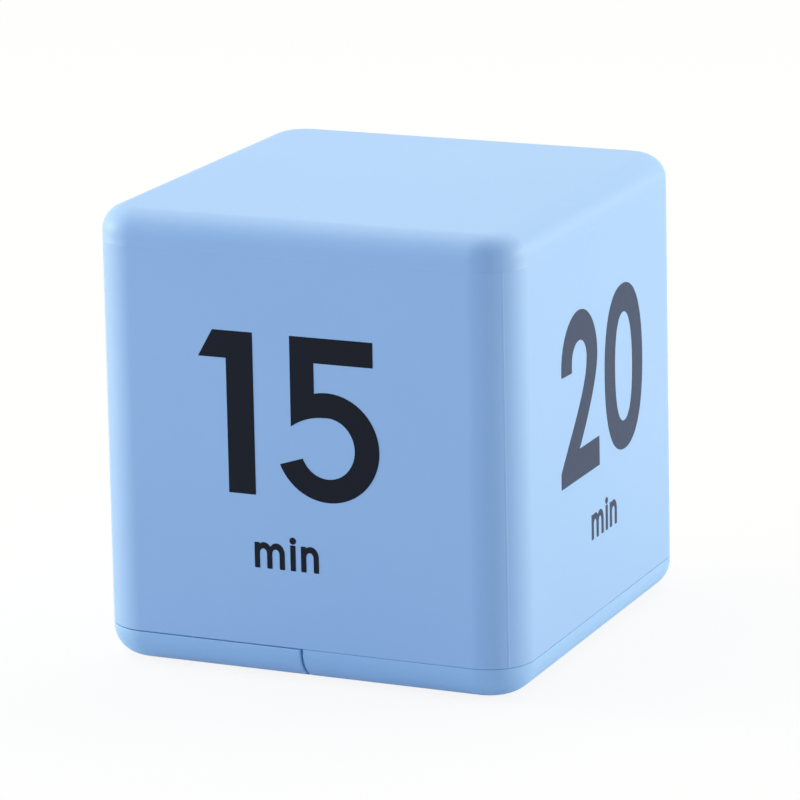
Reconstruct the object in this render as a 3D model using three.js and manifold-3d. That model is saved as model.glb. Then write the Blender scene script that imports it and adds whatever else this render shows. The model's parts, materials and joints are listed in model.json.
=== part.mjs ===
// A cube timer. The numbers on its four sides are countdowns: it is turned until the wanted one faces up.
// Millimetres, +Z up. The origin is the centre of the underside, and the front, with 15 min, faces -Y.
import * as THREE from 'three';
import { mergeVertices } from 'three/addons/utils/BufferGeometryUtils.js';
import Module from 'manifold-3d';

const wasm = await Module();
wasm.setup();

// Driving dimensions of the cube. Its depth is what the cells and their springs need, worked out below.
const width = 60;
const height = 61;
const sideEdge = 6.3;
const topEdge = 3.4;
const baseEdge = 4;
const wall = 2;
const roof = 2;

// Joint lines and clearances.
const seam = 4.55;
const doorSeam = 0.3;
const baseSeam = 0.1;
const slide = 0.3;
const seat = 0.1;
const thread = 0.15;
const root = 0.5;
const overrun = 1;

// Base: floor, locating lip, rails for the door.
const floor = 2;
const lipWall = 1.3;
const lipRise = 3;
const doorFloor = 2;
const doorWall = 1.8;
const rail = { reach: 1, thick: 0.7, drop: 0.45, length: 20, inset: 2.5 };
const tab = { reach: 1.4, half: 4, thick: 0.8, under: 1 };
const grip = { first: 5, pitch: 2, half: 7, wide: 0.5, deep: 0.4, count: 4 };
const doorMargin = 2.6;
const stepWidth = 2.9;

// Cells and their compartment.
const cell = { radius: 5.25, length: 44.5, nipple: 1.9, nippleRise: 1, crimp: 0.4, spacing: 0.3, clear: 0.4 };
const cellBox = { side: 1.5, wall: 1.2, end: 1.45 };
const contact = { thick: 0.4, half: 4.25, rise: 4.5, tabHalf: 1.25, tabRise: 2, dimple: 2.2,
	dimpleRise: 0.5 };
const spring = { length: 4.5, wire: 0.25, low: 3.2, high: 2.1, turns: 4, steps: 8, sides: 5 };

// Screws and the posts that they go into.
const screw = { head: 1.8, headRise: 1.2, shank: 1, length: 8, slot: 0.3, slotDepth: 0.6 };
const boardScrew = { head: 1.7, headRise: 1.1, shank: 0.75, length: 5, slot: 0.3, slotDepth: 0.5 };
const [screwFlatShare, screwRimShare, screwSlotShare] = [0.7, 0.5, 0.6];
const post = { radius: 2.5, boreDepth: 10, rib: 0.5, margin: 0.08, cover: 2.9, wellTop: 2.5 };
const boardPost = { radius: 1.9, boreDepth: 5, gap: 4.35 };
const batteryPostShare = 0.62;
const boardPostShare = 3;

// Circuit board and what is on it.
const board = { thick: 1.6, edge: 0.8 };
const lcd = { thick: 2, marginX: 2, marginY: 3, holder: 1, bar: 1, backGap: 3.6 };
const lens = { margin: 1.5, thick: 0.8, recess: 1.2 };
const zebra = { width: 1.8, inset: 0.2, endGap: 1.5 };
const led = { radius: 1.5, flange: 1.8, flangeRise: 0.8, length: 4, pin: 0.25, pinGap: 0.75 };
const plug = { radius: 1.6, flange: 2.1, flangeRise: 0.7, recess: 0.4 };
const sounder = { gap: 0.6, ring: 1, ringRise: 2.2, ledge: 0.8, ledgeRise: 1, discThick: 0.3,
	bareEdge: 2, ceramicThick: 0.25, hole: 0.6, holes: 6, holeCircle: 3 };
const knob = { halfX: 1.5, halfY: 2, flangeX: 0.7, flangeY: 1.8, flangeRise: 1, recess: 0.5, rib: 0.25,
	ribs: 3, above: 0.7 };
const volume = { halfX: 2.5, halfY: 6.35, rise: 3.9, shell: 0.4, wafer: 1, stemX: 1, stemY: 1.2, block: 1.8,
	blockY: 2.5, travel: 4, postGap: 0.45, dish: 0.6, dishMargin: 1.4, pin: 0.3, pinRise: 3, pinPitch: 2.5 };
const tilt = { radius: 2.2, length: 8.5, shell: 0.3, ball: 1.5, plug: 1.4, pin: 0.25, pinGap: 0.75,
	pinOut: 1.2, pitch: 6.2, loose: 0.05 };
const blob = { radius: 5, rise: 1.6, gap: 0.8 };
const crystal = { radius: 1.5, length: 6, pin: 0.25, pinOut: 1, pinGap: 0.6 };
const capacitor = { radius: 2.5, rise: 6, band: 0.3, bandRise: 1.4 };
const chip = { halfX: 1, halfY: 0.6, rise: 0.5 };
const wire = { radius: 0.5, sides: 6, steps: 20, pad: 0.3, riseSteps: 8 };
const capacitorShares = [0.72, 0.37];
const crystalShares = [0.24, 0.28];
const resistorShares = [[0.3, 0.12], [0.3, 0.18]];
const blackPadShares = [0.12, 0.2];
const redPadShares = [0.12, 0.1];
const leadShares = { across: 1 / 3, along: 0.4 };
const tiltShares = [[0.5, 0.9], [0.5, 0.77], [0.2, 0.52]];

// Printed numbers.
const ink = 0.1;
const digit = { height: 21.6, base: 24.9, gap: 3.1 };
const numberOffset = { front: -1.2, right: 1.1, back: 0, left: 0 };

// Facets of round shapes.
const bigSides = 24;
const smallSides = 12;
const tinySides = 8;
const edgeSteps = 4;

// Materials.
const paint = (color, roughness, metalness = 0) =>
	new THREE.MeshStandardMaterial({ color, roughness, metalness, flatShading: true });
const blue = paint('#a9cdf3', 0.42);
const black = paint('#1d1f2b', 0.5);
const steel = paint('#b9bcc0', 0.3, 1);
const nickel = paint('#c9c6bd', 0.28, 1);
const brass = paint('#c9a65a', 0.35, 1);
const white = paint('#e8e6df', 0.45);
const green = paint('#2f6b46', 0.5);
const dark = paint('#26282c', 0.55);
const clear = new THREE.MeshStandardMaterial({
	color: '#dfe9ec', roughness: 0.08, transparent: true, opacity: 0.4,
});
const glass = paint('#9fae9c', 0.15);
const rubber = paint('#3a3a3c', 0.8);
const amber = paint('#b9a37c', 0.5);
const label = paint('#2b5fa8', 0.35);
const redWire = paint('#b3262a', 0.5);
const blackWire = paint('#222226', 0.5);
const redLens = paint('#d7433c', 0.2);

// Shared closed shapes and booleans.
function closed(geometry) {
	const bare = geometry.clone();
	bare.deleteAttribute('normal');
	bare.deleteAttribute('uv');
	return mergeVertices(bare);
}

function solid(geometry) {
	const bare = closed(geometry);
	return new wasm.Manifold(new wasm.Mesh({
		numProp: 3,
		vertProperties: new Float32Array(bare.attributes.position.array),
		triVerts: new Uint32Array(bare.index.array),
	}));
}

function surface(shape) {
	const mesh = shape.getMesh();
	const geometry = new THREE.BufferGeometry();
	geometry.setAttribute('position', new THREE.BufferAttribute(new Float32Array(mesh.vertProperties), 3));
	geometry.setIndex(new THREE.BufferAttribute(new Uint32Array(mesh.triVerts), 1));
	return geometry;
}

const join = (...geometries) => surface(geometries.map(solid).reduce((a, b) => a.add(b)));
const cut = (geometry, ...tools) =>
	surface(tools.map(solid).reduce((a, b) => a.subtract(b), solid(geometry)));
const common = (a, b) => surface(solid(a).intersect(solid(b)));

function box([x0, x1], [y0, y1], [z0, z1]) {
	return new THREE.BoxGeometry(x1 - x0, y1 - y0, z1 - z0)
		.translate((x0 + x1) / 2, (y0 + y1) / 2, (z0 + z1) / 2);
}

function roundedShape(halfX, halfY, radius) {
	const shape = new THREE.Shape();
	shape.absarc(halfX - radius, halfY - radius, radius, 0, Math.PI / 2);
	shape.absarc(radius - halfX, halfY - radius, radius, Math.PI / 2, Math.PI);
	shape.absarc(radius - halfX, radius - halfY, radius, Math.PI, Math.PI * 3 / 2);
	shape.absarc(halfX - radius, radius - halfY, radius, Math.PI * 3 / 2, Math.PI * 2);
	return shape;
}

// An upright prism with rounded corners, from z0 to z1.
function prism(halfX, halfY, radius, z0, z1) {
	const options = { depth: z1 - z0, bevelEnabled: false, curveSegments: edgeSteps };
	return new THREE.ExtrudeGeometry(roundedShape(halfX, halfY, radius), options).translate(0, 0, z0);
}

// The same with its lower and upper rim rounded by edge.
function pillow(halfX, halfY, radius, edge, z0, z1) {
	const options = {
		depth: z1 - z0 - edge * 2, bevelThickness: edge, bevelSize: edge, bevelSegments: edgeSteps,
		curveSegments: edgeSteps,
	};
	const shape = roundedShape(halfX - edge, halfY - edge, radius - edge);
	return new THREE.ExtrudeGeometry(shape, options).translate(0, 0, z0 + edge);
}

// An upright cylinder on (x, y), from z0 to z1.
function rod(radius, x, y, z0, z1, sides = smallSides) {
	return new THREE.CylinderGeometry(radius, radius, z1 - z0, sides)
		.rotateX(Math.PI / 2).translate(x, y, (z0 + z1) / 2);
}

// A turned piece round Z: points are [radius, height] from the bottom to the top.
function turned(points, sides = smallSides) {
	const profile = points.map(([radius, z]) => new THREE.Vector2(radius, z));
	return new THREE.LatheGeometry(profile, sides).rotateX(Math.PI / 2);
}

// The points of a dome's profile, from its rim to its crown.
function dome(radius, rise) {
	return Array.from({ length: edgeSteps + 1 }, (_, i) => {
		const turn = i * Math.PI / 2 / edgeSteps;
		return [i < edgeSteps ? radius * Math.cos(turn) : 0, rise * Math.sin(turn)];
	});
}

// One unbroken tube along a smooth curve through the points.
function tube(points, radius, sides, steps) {
	const section = Array.from({ length: sides }, (_, i) => new THREE.Vector2(radius, 0)
		.rotateAround(new THREE.Vector2(), i * Math.PI * 2 / sides));
	return new THREE.ExtrudeGeometry(new THREE.Shape(section), {
		extrudePath: new THREE.CatmullRomCurve3(points), steps, bevelEnabled: false,
	});
}

const cubeTimer = new THREE.Group();
cubeTimer.name = 'cube_timer';

function add(name, geometry, material, parent = cubeTimer) {
	const mesh = new THREE.Mesh(closed(geometry), material);
	mesh.name = name;
	parent.add(mesh);
	return mesh;
}

// Places that several pieces share.
const springEnd = seat + contact.thick + spring.length;
const dimpleEnd = seat + contact.thick + contact.dimpleRise;
const boxHalfY = (springEnd + dimpleEnd + cell.length) / 2 + seat * 2;
const depth = (boxHalfY + cellBox.end + lipWall + slide + wall) * 2;
const halfX = width / 2;
const halfY = depth / 2;
const lipX = halfX - wall - slide;
const lipY = halfY - wall - slide;
const lipEdge = sideEdge - wall - slide;
const lipTop = seam + lipRise;
const roomX = lipX - lipWall;
const roomY = lipY - lipWall;
const rimBottom = doorFloor + slide;
const railTop = seam - rail.drop;

const boxLeft = cellBox.side - lipX;
const cellPitch = cell.radius * 2 + cell.spacing;
const cellZ = doorFloor + cell.clear + cell.radius;
const boxRight = boxLeft + cellPitch + (cell.radius + cell.clear) * 2;
const boxTop = cellZ + cell.radius + cell.clear;
const boxRoof = boxTop + cellBox.wall;
const boxOuter = boxRight + cellBox.wall;
const cellX = [0, 1].map((i) => boxLeft + cell.clear + cell.radius + i * cellPitch);
const boxMiddle = (boxLeft + boxRight) / 2;
const doorLine = boxOuter + doorMargin;
const doorEdge = doorLine - slide / 2;
const fixedEdge = doorLine + slide / 2;
const stepRight = fixedEdge + stepWidth;

const knobTop = floor + slide + knob.flangeRise;
const boardBottom = knobTop + knob.above + volume.rise + seat;
const boardTop = boardBottom + board.thick;
const boardX = [boxOuter + board.edge, roomX - slide];
const boardY = roomY - slide;

// The right half of the base: a lane for lamp and switch along its edge, display and sounder beside it.
// The cover's screw posts keep inside its lip, at the straight walls and at the rounded corner.
const postIn = Math.max(post.cover, lipEdge - (lipEdge - post.cover) / Math.SQRT2) + post.margin;
const coverPosts = [-1, 1].map((side) => [lipX - postIn, side * (lipY - postIn)]);
const laneWidth = Math.max(postIn - lipWall + post.cover, (volume.halfX + slide) * 2);
const laneLeft = roomX - laneWidth;
const laneX = (laneLeft + roomX) / 2;
const bayX = (stepRight + laneLeft) / 2;
const soundOuter = (laneLeft - stepRight) / 2 - sounder.gap;
const soundSeat = soundOuter - sounder.ring;
const disc = soundSeat - slide;
const soundY = soundOuter + sounder.gap - roomY;
const discBottom = floor + sounder.ledgeRise + seat;
const discTop = discBottom + sounder.discThick;
const holderX = (laneLeft - stepRight) / 2 - slide;
const holderBack = roomY - lcd.backGap;
const holderFront = soundY + soundOuter + sounder.gap;
const holderY = (holderBack - holderFront) / 2;
const lcdY = (holderBack + holderFront) / 2;
const lcdInX = holderX - lcd.holder;
const lcdInY = holderY - lcd.holder;
const lcdHalfX = lcdInX - slide;
const lcdHalfY = lcdInY - slide;
const viewX = lcdHalfX - lcd.marginX;
const viewY = lcdHalfY - lcd.marginY;
const volumeY = postIn + post.cover + volume.postGap + volume.halfY - lipY;
const batteryPosts = [-1, 1].map((side) => [boxMiddle, side * boxHalfY * batteryPostShare]);
const boardPosts = [
	[laneX, volumeY + volume.halfY + boardPost.radius + boardPost.gap],
	[laneX, lcdY + plug.flange + boardPost.radius * boardPostShare],
	[stepRight + boardPost.radius - slide, boardPost.radius + slide - roomY],
];
const boardPlace = ([xShare, yShare]) => [
	boardX[0] + (boardX[1] - boardX[0]) * xShare, boardY * (yShare * 2 - 1),
];
const tiltSpots = tiltShares.map(boardPlace);
tiltSpots.push([tiltSpots[2][0] + tilt.pitch, tiltSpots[2][1]]);
const tiltPlaces = [0, 2, 3, 1].map((turn, i) => ({ place: tiltSpots[i], turn }));

// Housing: a shell open at its bottom, with a post for each case screw and a pocket for each printed digit.
function housing(pockets) {
	const outer = common(
		pillow(halfX, halfY, sideEdge, topEdge, seam - topEdge * 2, height),
		box([-width, width], [-depth, depth], [seam, height + overrun]),
	);
	const shell = cut(outer, prism(halfX - wall, halfY - wall, sideEdge - wall, seam - overrun, height - roof));
	const posts = [];
	const bores = [];
	for (const [places, bottom] of [[batteryPosts, boxRoof + slide], [coverPosts, lipTop + slide]]) {
		for (const [x, y] of places) {
			posts.push(rod(post.radius, x, y, bottom, height - roof + root));
			bores.push(rod(screw.shank + thread, x, y, bottom - overrun, bottom + post.boreDepth));
		}
	}
	const rib = [lipTop + slide, height - roof + root];
	for (const [x, y] of coverPosts) {
		const out = Math.sign(y) * (halfY - wall + root);
		posts.push(box([x, halfX - wall + root], [y - post.rib, y + post.rib], rib));
		posts.push(box([x - post.rib, x + post.rib], [Math.min(y, out), Math.max(y, out)], rib));
	}
	return cut(join(shell, ...posts), ...bores, ...pockets);
}

// The lower band as one block, cut into the fixed half and the door.
function lowerBand(top, x) {
	return common(
		pillow(halfX, halfY, sideEdge, baseEdge, 0, height),
		box(x, [-depth, depth], [-overrun, top]),
	);
}

function baseCover() {
	const band = lowerBand(seam - baseSeam, [fixedEdge, width]);
	const lip = prism(lipX, lipY, lipEdge, rimBottom, lipTop);
	const cells = common(
		prism(lipX, boxHalfY + cellBox.end, lipEdge, rimBottom, boxRoof),
		box([-width, boxOuter], [-depth, depth], [0, height]),
	);
	const room = prism(roomX, roomY, lipEdge - lipWall, floor, height);
	const lowRoom = common(room, box([stepRight, width], [-depth, depth], [0, seam]));
	const highRoom = common(room, box([boxOuter, width], [-depth, depth], [seam - seat, height]));
	const compartment = box([boxLeft, boxRight], [-boxHalfY, boxHalfY], [0, boxTop]);
	const block = cut(join(band, lip, cells), lowRoom, highRoom, compartment);

	const extras = [];
	const holes = [];
	for (const [x, y] of coverPosts) {
		extras.push(rod(post.cover, x, y, floor - root, lipTop, bigSides));
		holes.push(rod(screw.head + slide, x, y, -overrun, lipTop - post.wellTop, bigSides));
		holes.push(rod(screw.shank + thread, x, y, 0, height));
	}
	for (const [x, y] of batteryPosts) holes.push(rod(screw.shank + thread, x, y, 0, height));
	for (const [x, y] of boardPosts) {
		extras.push(rod(boardPost.radius, x, y, floor - root, boardBottom - seat));
		holes.push(rod(boardScrew.shank + thread, x, y, boardBottom - boardPost.boreDepth, height));
	}
	extras.push(rod(soundOuter, bayX, soundY, floor - root, floor + sounder.ringRise, bigSides));
	holes.push(rod(soundSeat, bayX, soundY, floor + sounder.ledgeRise, height, bigSides));
	holes.push(rod(disc - sounder.ledge, bayX, soundY, floor, height, bigSides));
	for (let i = 0; i <= sounder.holes; i++) {
		const turn = i * Math.PI * 2 / sounder.holes;
		const out = i < sounder.holes ? sounder.holeCircle : 0;
		holes.push(rod(sounder.hole, bayX + out * Math.cos(turn), soundY + out * Math.sin(turn), -overrun,
			floor + overrun, tinySides));
	}

	// Window, lamp hole and switch slot.
	const view = [[bayX - viewX, bayX + viewX], [lcdY - viewY, lcdY + viewY]];
	holes.push(box(...view, [-overrun, floor + overrun]));
	const rim = lens.margin + seat;
	holes.push(box([view[0][0] - rim, view[0][1] + rim], [view[1][0] - rim, view[1][1] + rim],
		[-overrun, lens.recess]));
	holes.push(rod(plug.radius + seat, laneX, lcdY, -overrun, floor + overrun));
	const slotX = knob.halfX + slide;
	const slotY = knob.halfY + volume.travel / 2 + slide;
	holes.push(box([laneX - slotX, laneX + slotX], [volumeY - slotY, volumeY + slotY],
		[-overrun, floor + overrun]));
	const dishX = slotX + volume.dishMargin;
	const dishY = slotY + volume.dishMargin;
	holes.push(prism(dishX, dishY, volume.dishMargin, -overrun, volume.dish).translate(laneX, volumeY, 0));

	// Grooves for the door's rails, the pocket for its tab and slots for the contact tabs.
	const groove = [railTop - rail.thick - slide, railTop + slide];
	for (const side of [-1, 1]) {
		const deep = side * (lipY - rail.reach - slide);
		const out = side * depth;
		holes.push(box([-width, doorEdge - rail.inset + slide + overrun],
			[Math.min(deep, out), Math.max(deep, out)], groove));
	}
	holes.push(box([fixedEdge - overrun, doorEdge + tab.reach + slide], [-tab.half - slide, tab.half + slide],
		[tab.under - slide, tab.under + tab.thick + slide]));
	for (const x of cellX) {
		holes.push(box([x - contact.tabHalf - slide, x + contact.tabHalf + slide],
			[-boxHalfY - slide, seat + contact.thick + slide - boxHalfY], [boxTop - overrun, height]));
	}
	return cut(join(block, ...extras), ...holes);
}

function batteryDoor() {
	const top = seam - doorSeam;
	const band = lowerBand(top, [-width, doorEdge]);
	const hollow = prism(halfX - doorWall, halfY - doorWall, sideEdge - doorWall, doorFloor, height);
	const tray = cut(band, hollow);
	const railX = [doorEdge - rail.inset - rail.length, doorEdge - rail.inset];
	const railZ = [railTop - rail.thick, railTop];
	const rails = [-1, 1].map((side) => {
		const inner = side * (lipY - rail.reach);
		const outer = side * (halfY - doorWall + root);
		return box(railX, [Math.min(inner, outer), Math.max(inner, outer)], railZ);
	});
	const tongue = box([doorEdge - overrun, doorEdge + tab.reach], [-tab.half, tab.half],
		[tab.under, tab.under + tab.thick]);
	const body = join(tray, ...rails, tongue);
	const grooves = [];
	for (let i = 0; i < grip.count; i++) {
		const x = doorEdge - grip.first - i * grip.pitch;
		grooves.push(box([x - grip.wide, x + grip.wide], [-grip.half, grip.half], [-overrun, grip.deep]));
	}
	return cut(body, ...grooves);
}

// A cell along Y, its positive end towards +Y, centred on the origin.
function batteryCell() {
	const half = cell.length / 2;
	const shoulder = half - cell.nippleRise;
	return turned([
		[0, -half], [cell.radius - cell.crimp, -half], [cell.radius, cell.crimp - half],
		[cell.radius, shoulder - cell.crimp], [cell.radius - cell.crimp, shoulder], [cell.nipple, shoulder],
		[cell.nipple, half], [0, half],
	], bigSides).rotateX(-Math.PI / 2);
}

// Contact plates stand across Y; front ones have a tab through the roof of the compartment.
function contactPlate(xs, yBack, yFace) {
	return box([xs[0] - contact.half, xs[xs.length - 1] + contact.half], [yBack, yFace],
		[cellZ - contact.rise, cellZ + contact.rise]);
}

function contactTab(x, yBack, yFace) {
	return box([x - contact.tabHalf, x + contact.tabHalf], [yBack, yFace],
		[cellZ, boxRoof + contact.tabRise]);
}

function dimpleOn(x, yFace, towards) {
	return rod(contact.dimple, 0, 0, -seat, contact.dimpleRise).rotateX(-Math.PI / 2 * towards)
		.translate(x, yFace, cellZ);
}

// A tapering helix along Y from the plate to the cell.
function contactSpring(x, yFrom, yTo) {
	const points = [];
	const count = spring.turns * spring.steps;
	const reach = Math.abs(yTo - yFrom) - spring.wire * 2 - seat * 2;
	const sense = Math.sign(yTo - yFrom);
	for (let i = 0; i <= count; i++) {
		const share = i / count;
		const turn = i * Math.PI * 2 / spring.steps;
		const radius = spring.low + (spring.high - spring.low) * share;
		points.push(new THREE.Vector3(
			x + radius * Math.cos(turn), yFrom + sense * (seat + spring.wire + reach * share),
			cellZ + radius * Math.sin(turn),
		));
	}
	console.log(`least gap between the turns: ${leastGap(points, spring.wire).toFixed(2)} mm`);
	return tube(points, spring.wire, spring.sides, count);
}

// The least gap of a wound wire to itself: the nearest points at least half a turn apart, less its thickness.
function leastGap(points, radius) {
	const apart = spring.steps / 2;
	const gaps = points.flatMap((a, i) => points.slice(i + apart).map((b) => a.distanceTo(b)));
	return Math.min(...gaps) - radius * 2;
}

function addBatteries() {
	const yNegative = springEnd + seat * 2 - boxHalfY + cell.length / 2;
	const yPositive = -yNegative;
	add('battery_1', batteryCell(), label).position.set(cellX[0], yNegative, cellZ);
	const second = add('battery_2', batteryCell().rotateZ(Math.PI), label);
	second.position.set(cellX[1], yPositive, cellZ);
	const frontBack = seat - boxHalfY;
	const frontFace = frontBack + contact.thick;
	add('negative_contact_plate', join(contactPlate([cellX[0]], frontBack, frontFace),
		contactTab(cellX[0], frontBack, frontFace)), nickel);
	add('negative_contact_spring', contactSpring(cellX[0], frontFace, frontFace + spring.length), steel);
	add('positive_contact_plate', join(contactPlate([cellX[1]], frontBack, frontFace),
		contactTab(cellX[1], frontBack, frontFace), dimpleOn(cellX[1], frontFace, 1)), nickel);
	add('bridge_contact_plate', join(contactPlate(cellX, -frontFace, -frontBack),
		dimpleOn(cellX[0], -frontFace, -1)), nickel);
	add('bridge_contact_spring', contactSpring(cellX[1], -frontFace, -frontFace - spring.length), steel);
}

// A pan-head screw pointing up, its head's underside at z = 0, with a cross slot.
function panScrew(size) {
	const body = turned([
		[0, -size.headRise], [size.head * screwFlatShare, -size.headRise],
		[size.head, -size.headRise * screwRimShare], [size.head, 0],
		[size.shank, 0], [size.shank, size.length - size.shank], [0, size.length],
	]);
	const reach = size.head * screwSlotShare;
	const slots = [[reach, size.slot], [size.slot, reach]].map(([x, y]) =>
		box([-x, x], [-y, y], [-size.headRise - overrun, size.slotDepth - size.headRise]));
	return cut(body, ...slots);
}

function addScrews() {
	const caseScrews = [
		...batteryPosts.map(([x, y]) => [x, y, boxTop - seat]),
		...coverPosts.map(([x, y]) => [x, y, lipTop - post.wellTop - seat]),
	];
	caseScrews.forEach((place, i) => add(`case_screw_${i + 1}`, panScrew(screw), steel).position.set(...place));
	boardPosts.forEach(([x, y], i) => add(`board_screw_${i + 1}`, panScrew(boardScrew).rotateX(Math.PI), steel)
		.position.set(x, y, boardTop + seat));
}

// Display, from the outside in: window, glass, holder and rubber connector.
function addDisplay() {
	const lensX = viewX + lens.margin;
	const lensY = viewY + lens.margin;
	const lensTop = lens.recess - seat;
	add('display_window', box([bayX - lensX, bayX + lensX], [lcdY - lensY, lcdY + lensY],
		[lensTop - lens.thick, lensTop]), clear);
	const glassBottom = floor + seat;
	const glassTop = glassBottom + lcd.thick;
	add('lcd_glass', box([bayX - lcdHalfX, bayX + lcdHalfX], [lcdY - lcdHalfY, lcdY + lcdHalfY],
		[glassBottom, glassTop]), glass);
	const stripRight = bayX + lcdHalfX - zebra.inset;
	const stripLeft = stripRight - zebra.width;
	const stripY = lcdHalfY - zebra.endGap;
	const stripTop = boardBottom - seat;
	add('zebra_connector', box([stripLeft, stripRight], [lcdY - stripY, lcdY + stripY],
		[glassTop + seat, stripTop]), rubber);
	const frame = cut(
		box([bayX - holderX, bayX + holderX], [holderFront, holderBack], [glassBottom, stripTop]),
		box([bayX - lcdInX, bayX + lcdInX], [lcdY - lcdInY, lcdY + lcdInY], [0, glassTop + seat]),
		box([bayX - lcdInX, stripLeft - slide - lcd.bar], [lcdY - lcdInY, lcdY + lcdInY], [0, height]),
		box([stripLeft - slide, stripRight + slide], [lcdY - stripY - slide, lcdY + stripY + slide], [0, height]),
	);
	add('lcd_holder', frame, white);
}

function addLamp() {
	const plugTop = floor + seat + plug.flangeRise;
	add('led_window', turned([
		[0, plug.recess], [plug.radius, plug.recess], [plug.radius, floor + seat], [plug.flange, floor + seat],
		[plug.flange, plugTop], [0, plugTop],
	]).translate(laneX, lcdY, 0), clear);
	const tip = plugTop + slide;
	const top = tip + led.length;
	const body = turned([
		...dome(led.radius, led.radius).map(([radius, z]) => [radius, tip + led.radius - z]).reverse(),
		[led.radius, top - led.flangeRise], [led.flange, top - led.flangeRise], [led.flange, top], [0, top],
	]).translate(laneX, lcdY, 0);
	const pins = [-1, 1].map((side) =>
		rod(led.pin, laneX, lcdY + side * led.pinGap, top - seat, boardTop + slide, tinySides));
	add('led', join(body, ...pins), redLens);
}

function addSounder() {
	add('piezo_disc', rod(disc, bayX, soundY, discBottom, discTop, bigSides), brass);
	add('piezo_ceramic', rod(disc - sounder.bareEdge, bayX, soundY, discTop + seat,
		discTop + seat + sounder.ceramicThick, bigSides), white);
}

// The volume switch hangs from the board; at rest its lever and knob are at the front end, off.
const volumeTop = boardBottom - seat;
const volumeBottom = volumeTop - volume.rise;
const offY = volumeY - volume.travel / 2;

function addSwitch() {
	const pins = [];
	for (let i = -1; i <= 1; i++) {
		for (const side of [-1, 1]) {
			const x = laneX + side * (volume.halfX - volume.shell - volume.pin * 2);
			pins.push(rod(volume.pin, x, volumeY + i * volume.pinPitch, volumeTop - volume.wafer / 2,
				volumeTop + volume.pinRise, tinySides));
		}
	}
	const inX = volume.halfX - volume.shell - seat;
	const inY = volume.halfY - volume.shell - seat;
	const wafer = box([laneX - inX, laneX + inX], [volumeY - inY, volumeY + inY],
		[volumeTop - volume.wafer, volumeTop]);
	add('switch_base', join(wafer, ...pins), amber);

	const holeX = volume.halfX - volume.shell;
	const holeY = volume.halfY - volume.shell;
	const stemX = volume.stemX + slide;
	const stemY = volume.stemY + volume.travel / 2 + slide;
	add('switch_frame', cut(
		box([laneX - volume.halfX, laneX + volume.halfX], [volumeY - volume.halfY, volumeY + volume.halfY],
			[volumeBottom, volumeTop]),
		box([laneX - holeX, laneX + holeX], [volumeY - holeY, volumeY + holeY],
			[volumeBottom + volume.shell, height]),
		box([laneX - stemX, laneX + stemX], [volumeY - stemY, volumeY + stemY], [0, height]),
	), steel);

	const blockX = holeX - slide;
	const blockZ = volumeBottom + volume.shell + seat;
	const knobFlange = [floor + slide, knobTop];
	add('switch_lever', join(
		box([laneX - blockX, laneX + blockX], [offY - volume.blockY, offY + volume.blockY],
			[blockZ, blockZ + volume.block]),
		box([laneX - volume.stemX, laneX + volume.stemX], [offY - volume.stemY, offY + volume.stemY],
			[floor, blockZ + volume.block / 2]),
	), white);

	const ribs = [];
	for (let i = 0; i < knob.ribs; i++) {
		const y = offY + (i - (knob.ribs - 1) / 2) * knob.rib * 4;
		ribs.push(box([laneX - width, laneX + width], [y - knob.rib, y + knob.rib],
			[0, knob.recess + knob.rib]));
	}
	add('switch_knob', cut(
		join(
			box([laneX - knob.halfX, laneX + knob.halfX], [offY - knob.halfY, offY + knob.halfY],
				[knob.recess, knobFlange[1]]),
			box([laneX - knob.halfX - knob.flangeX, laneX + knob.halfX + knob.flangeX],
				[offY - knob.halfY - knob.flangeY, offY + knob.halfY + knob.flangeY], knobFlange),
		),
		box([laneX - volume.stemX - seat, laneX + volume.stemX + seat],
			[offY - volume.stemY - seat, offY + volume.stemY + seat], [floor - seat, height]),
		...ribs,
	), white);
}

// Tilt switches: each lies on the board with its closed end outwards and its pins at the other end.
const tiltZ = boardTop + seat + tilt.radius;
const tiltBore = tilt.radius - tilt.shell;
const tiltPins = [-tilt.length / 2 - tilt.pinOut, tilt.pinGap];

function addTiltSwitch({ place: [x, y], turn }, index) {
	const group = new THREE.Group();
	group.position.set(x, y, tiltZ);
	group.rotation.z = turn * Math.PI / 2;
	cubeTimer.add(group);
	const half = tilt.length / 2;
	const along = (geometry) => geometry.rotateY(Math.PI / 2);
	const can = cut(along(rod(tilt.radius, 0, 0, -half, half)),
		along(rod(tiltBore, 0, 0, -half - overrun, half - tilt.shell)));
	add(`tilt_can_${index}`, can, steel, group);
	const body = along(rod(tiltBore - seat, 0, 0, -half - seat, tilt.plug - half));
	const down = tilt.radius + board.thick;
	const pins = [-1, 1].flatMap((side) => [
		box([tiltPins[0] - tilt.pin, tilt.plug / 2 - half], [side * tilt.pinGap - tilt.pin,
			side * tilt.pinGap + tilt.pin], [-tilt.pin, tilt.pin]),
		box([tiltPins[0] - tilt.pin, tiltPins[0] + tilt.pin], [side * tilt.pinGap - tilt.pin,
			side * tilt.pinGap + tilt.pin], [-down, tilt.pin]),
	]);
	add(`tilt_plug_${index}`, join(body, ...pins), dark, group);
	const ball = new THREE.SphereGeometry(tilt.ball, smallSides, smallSides / 2);
	const low = tilt.ball + tilt.loose - tiltBore * Math.cos(Math.PI / smallSides);
	add(`tilt_ball_${index}`, ball, steel, group).position.set(tilt.plug - half + seat + tilt.ball, 0, low);
}

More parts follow.
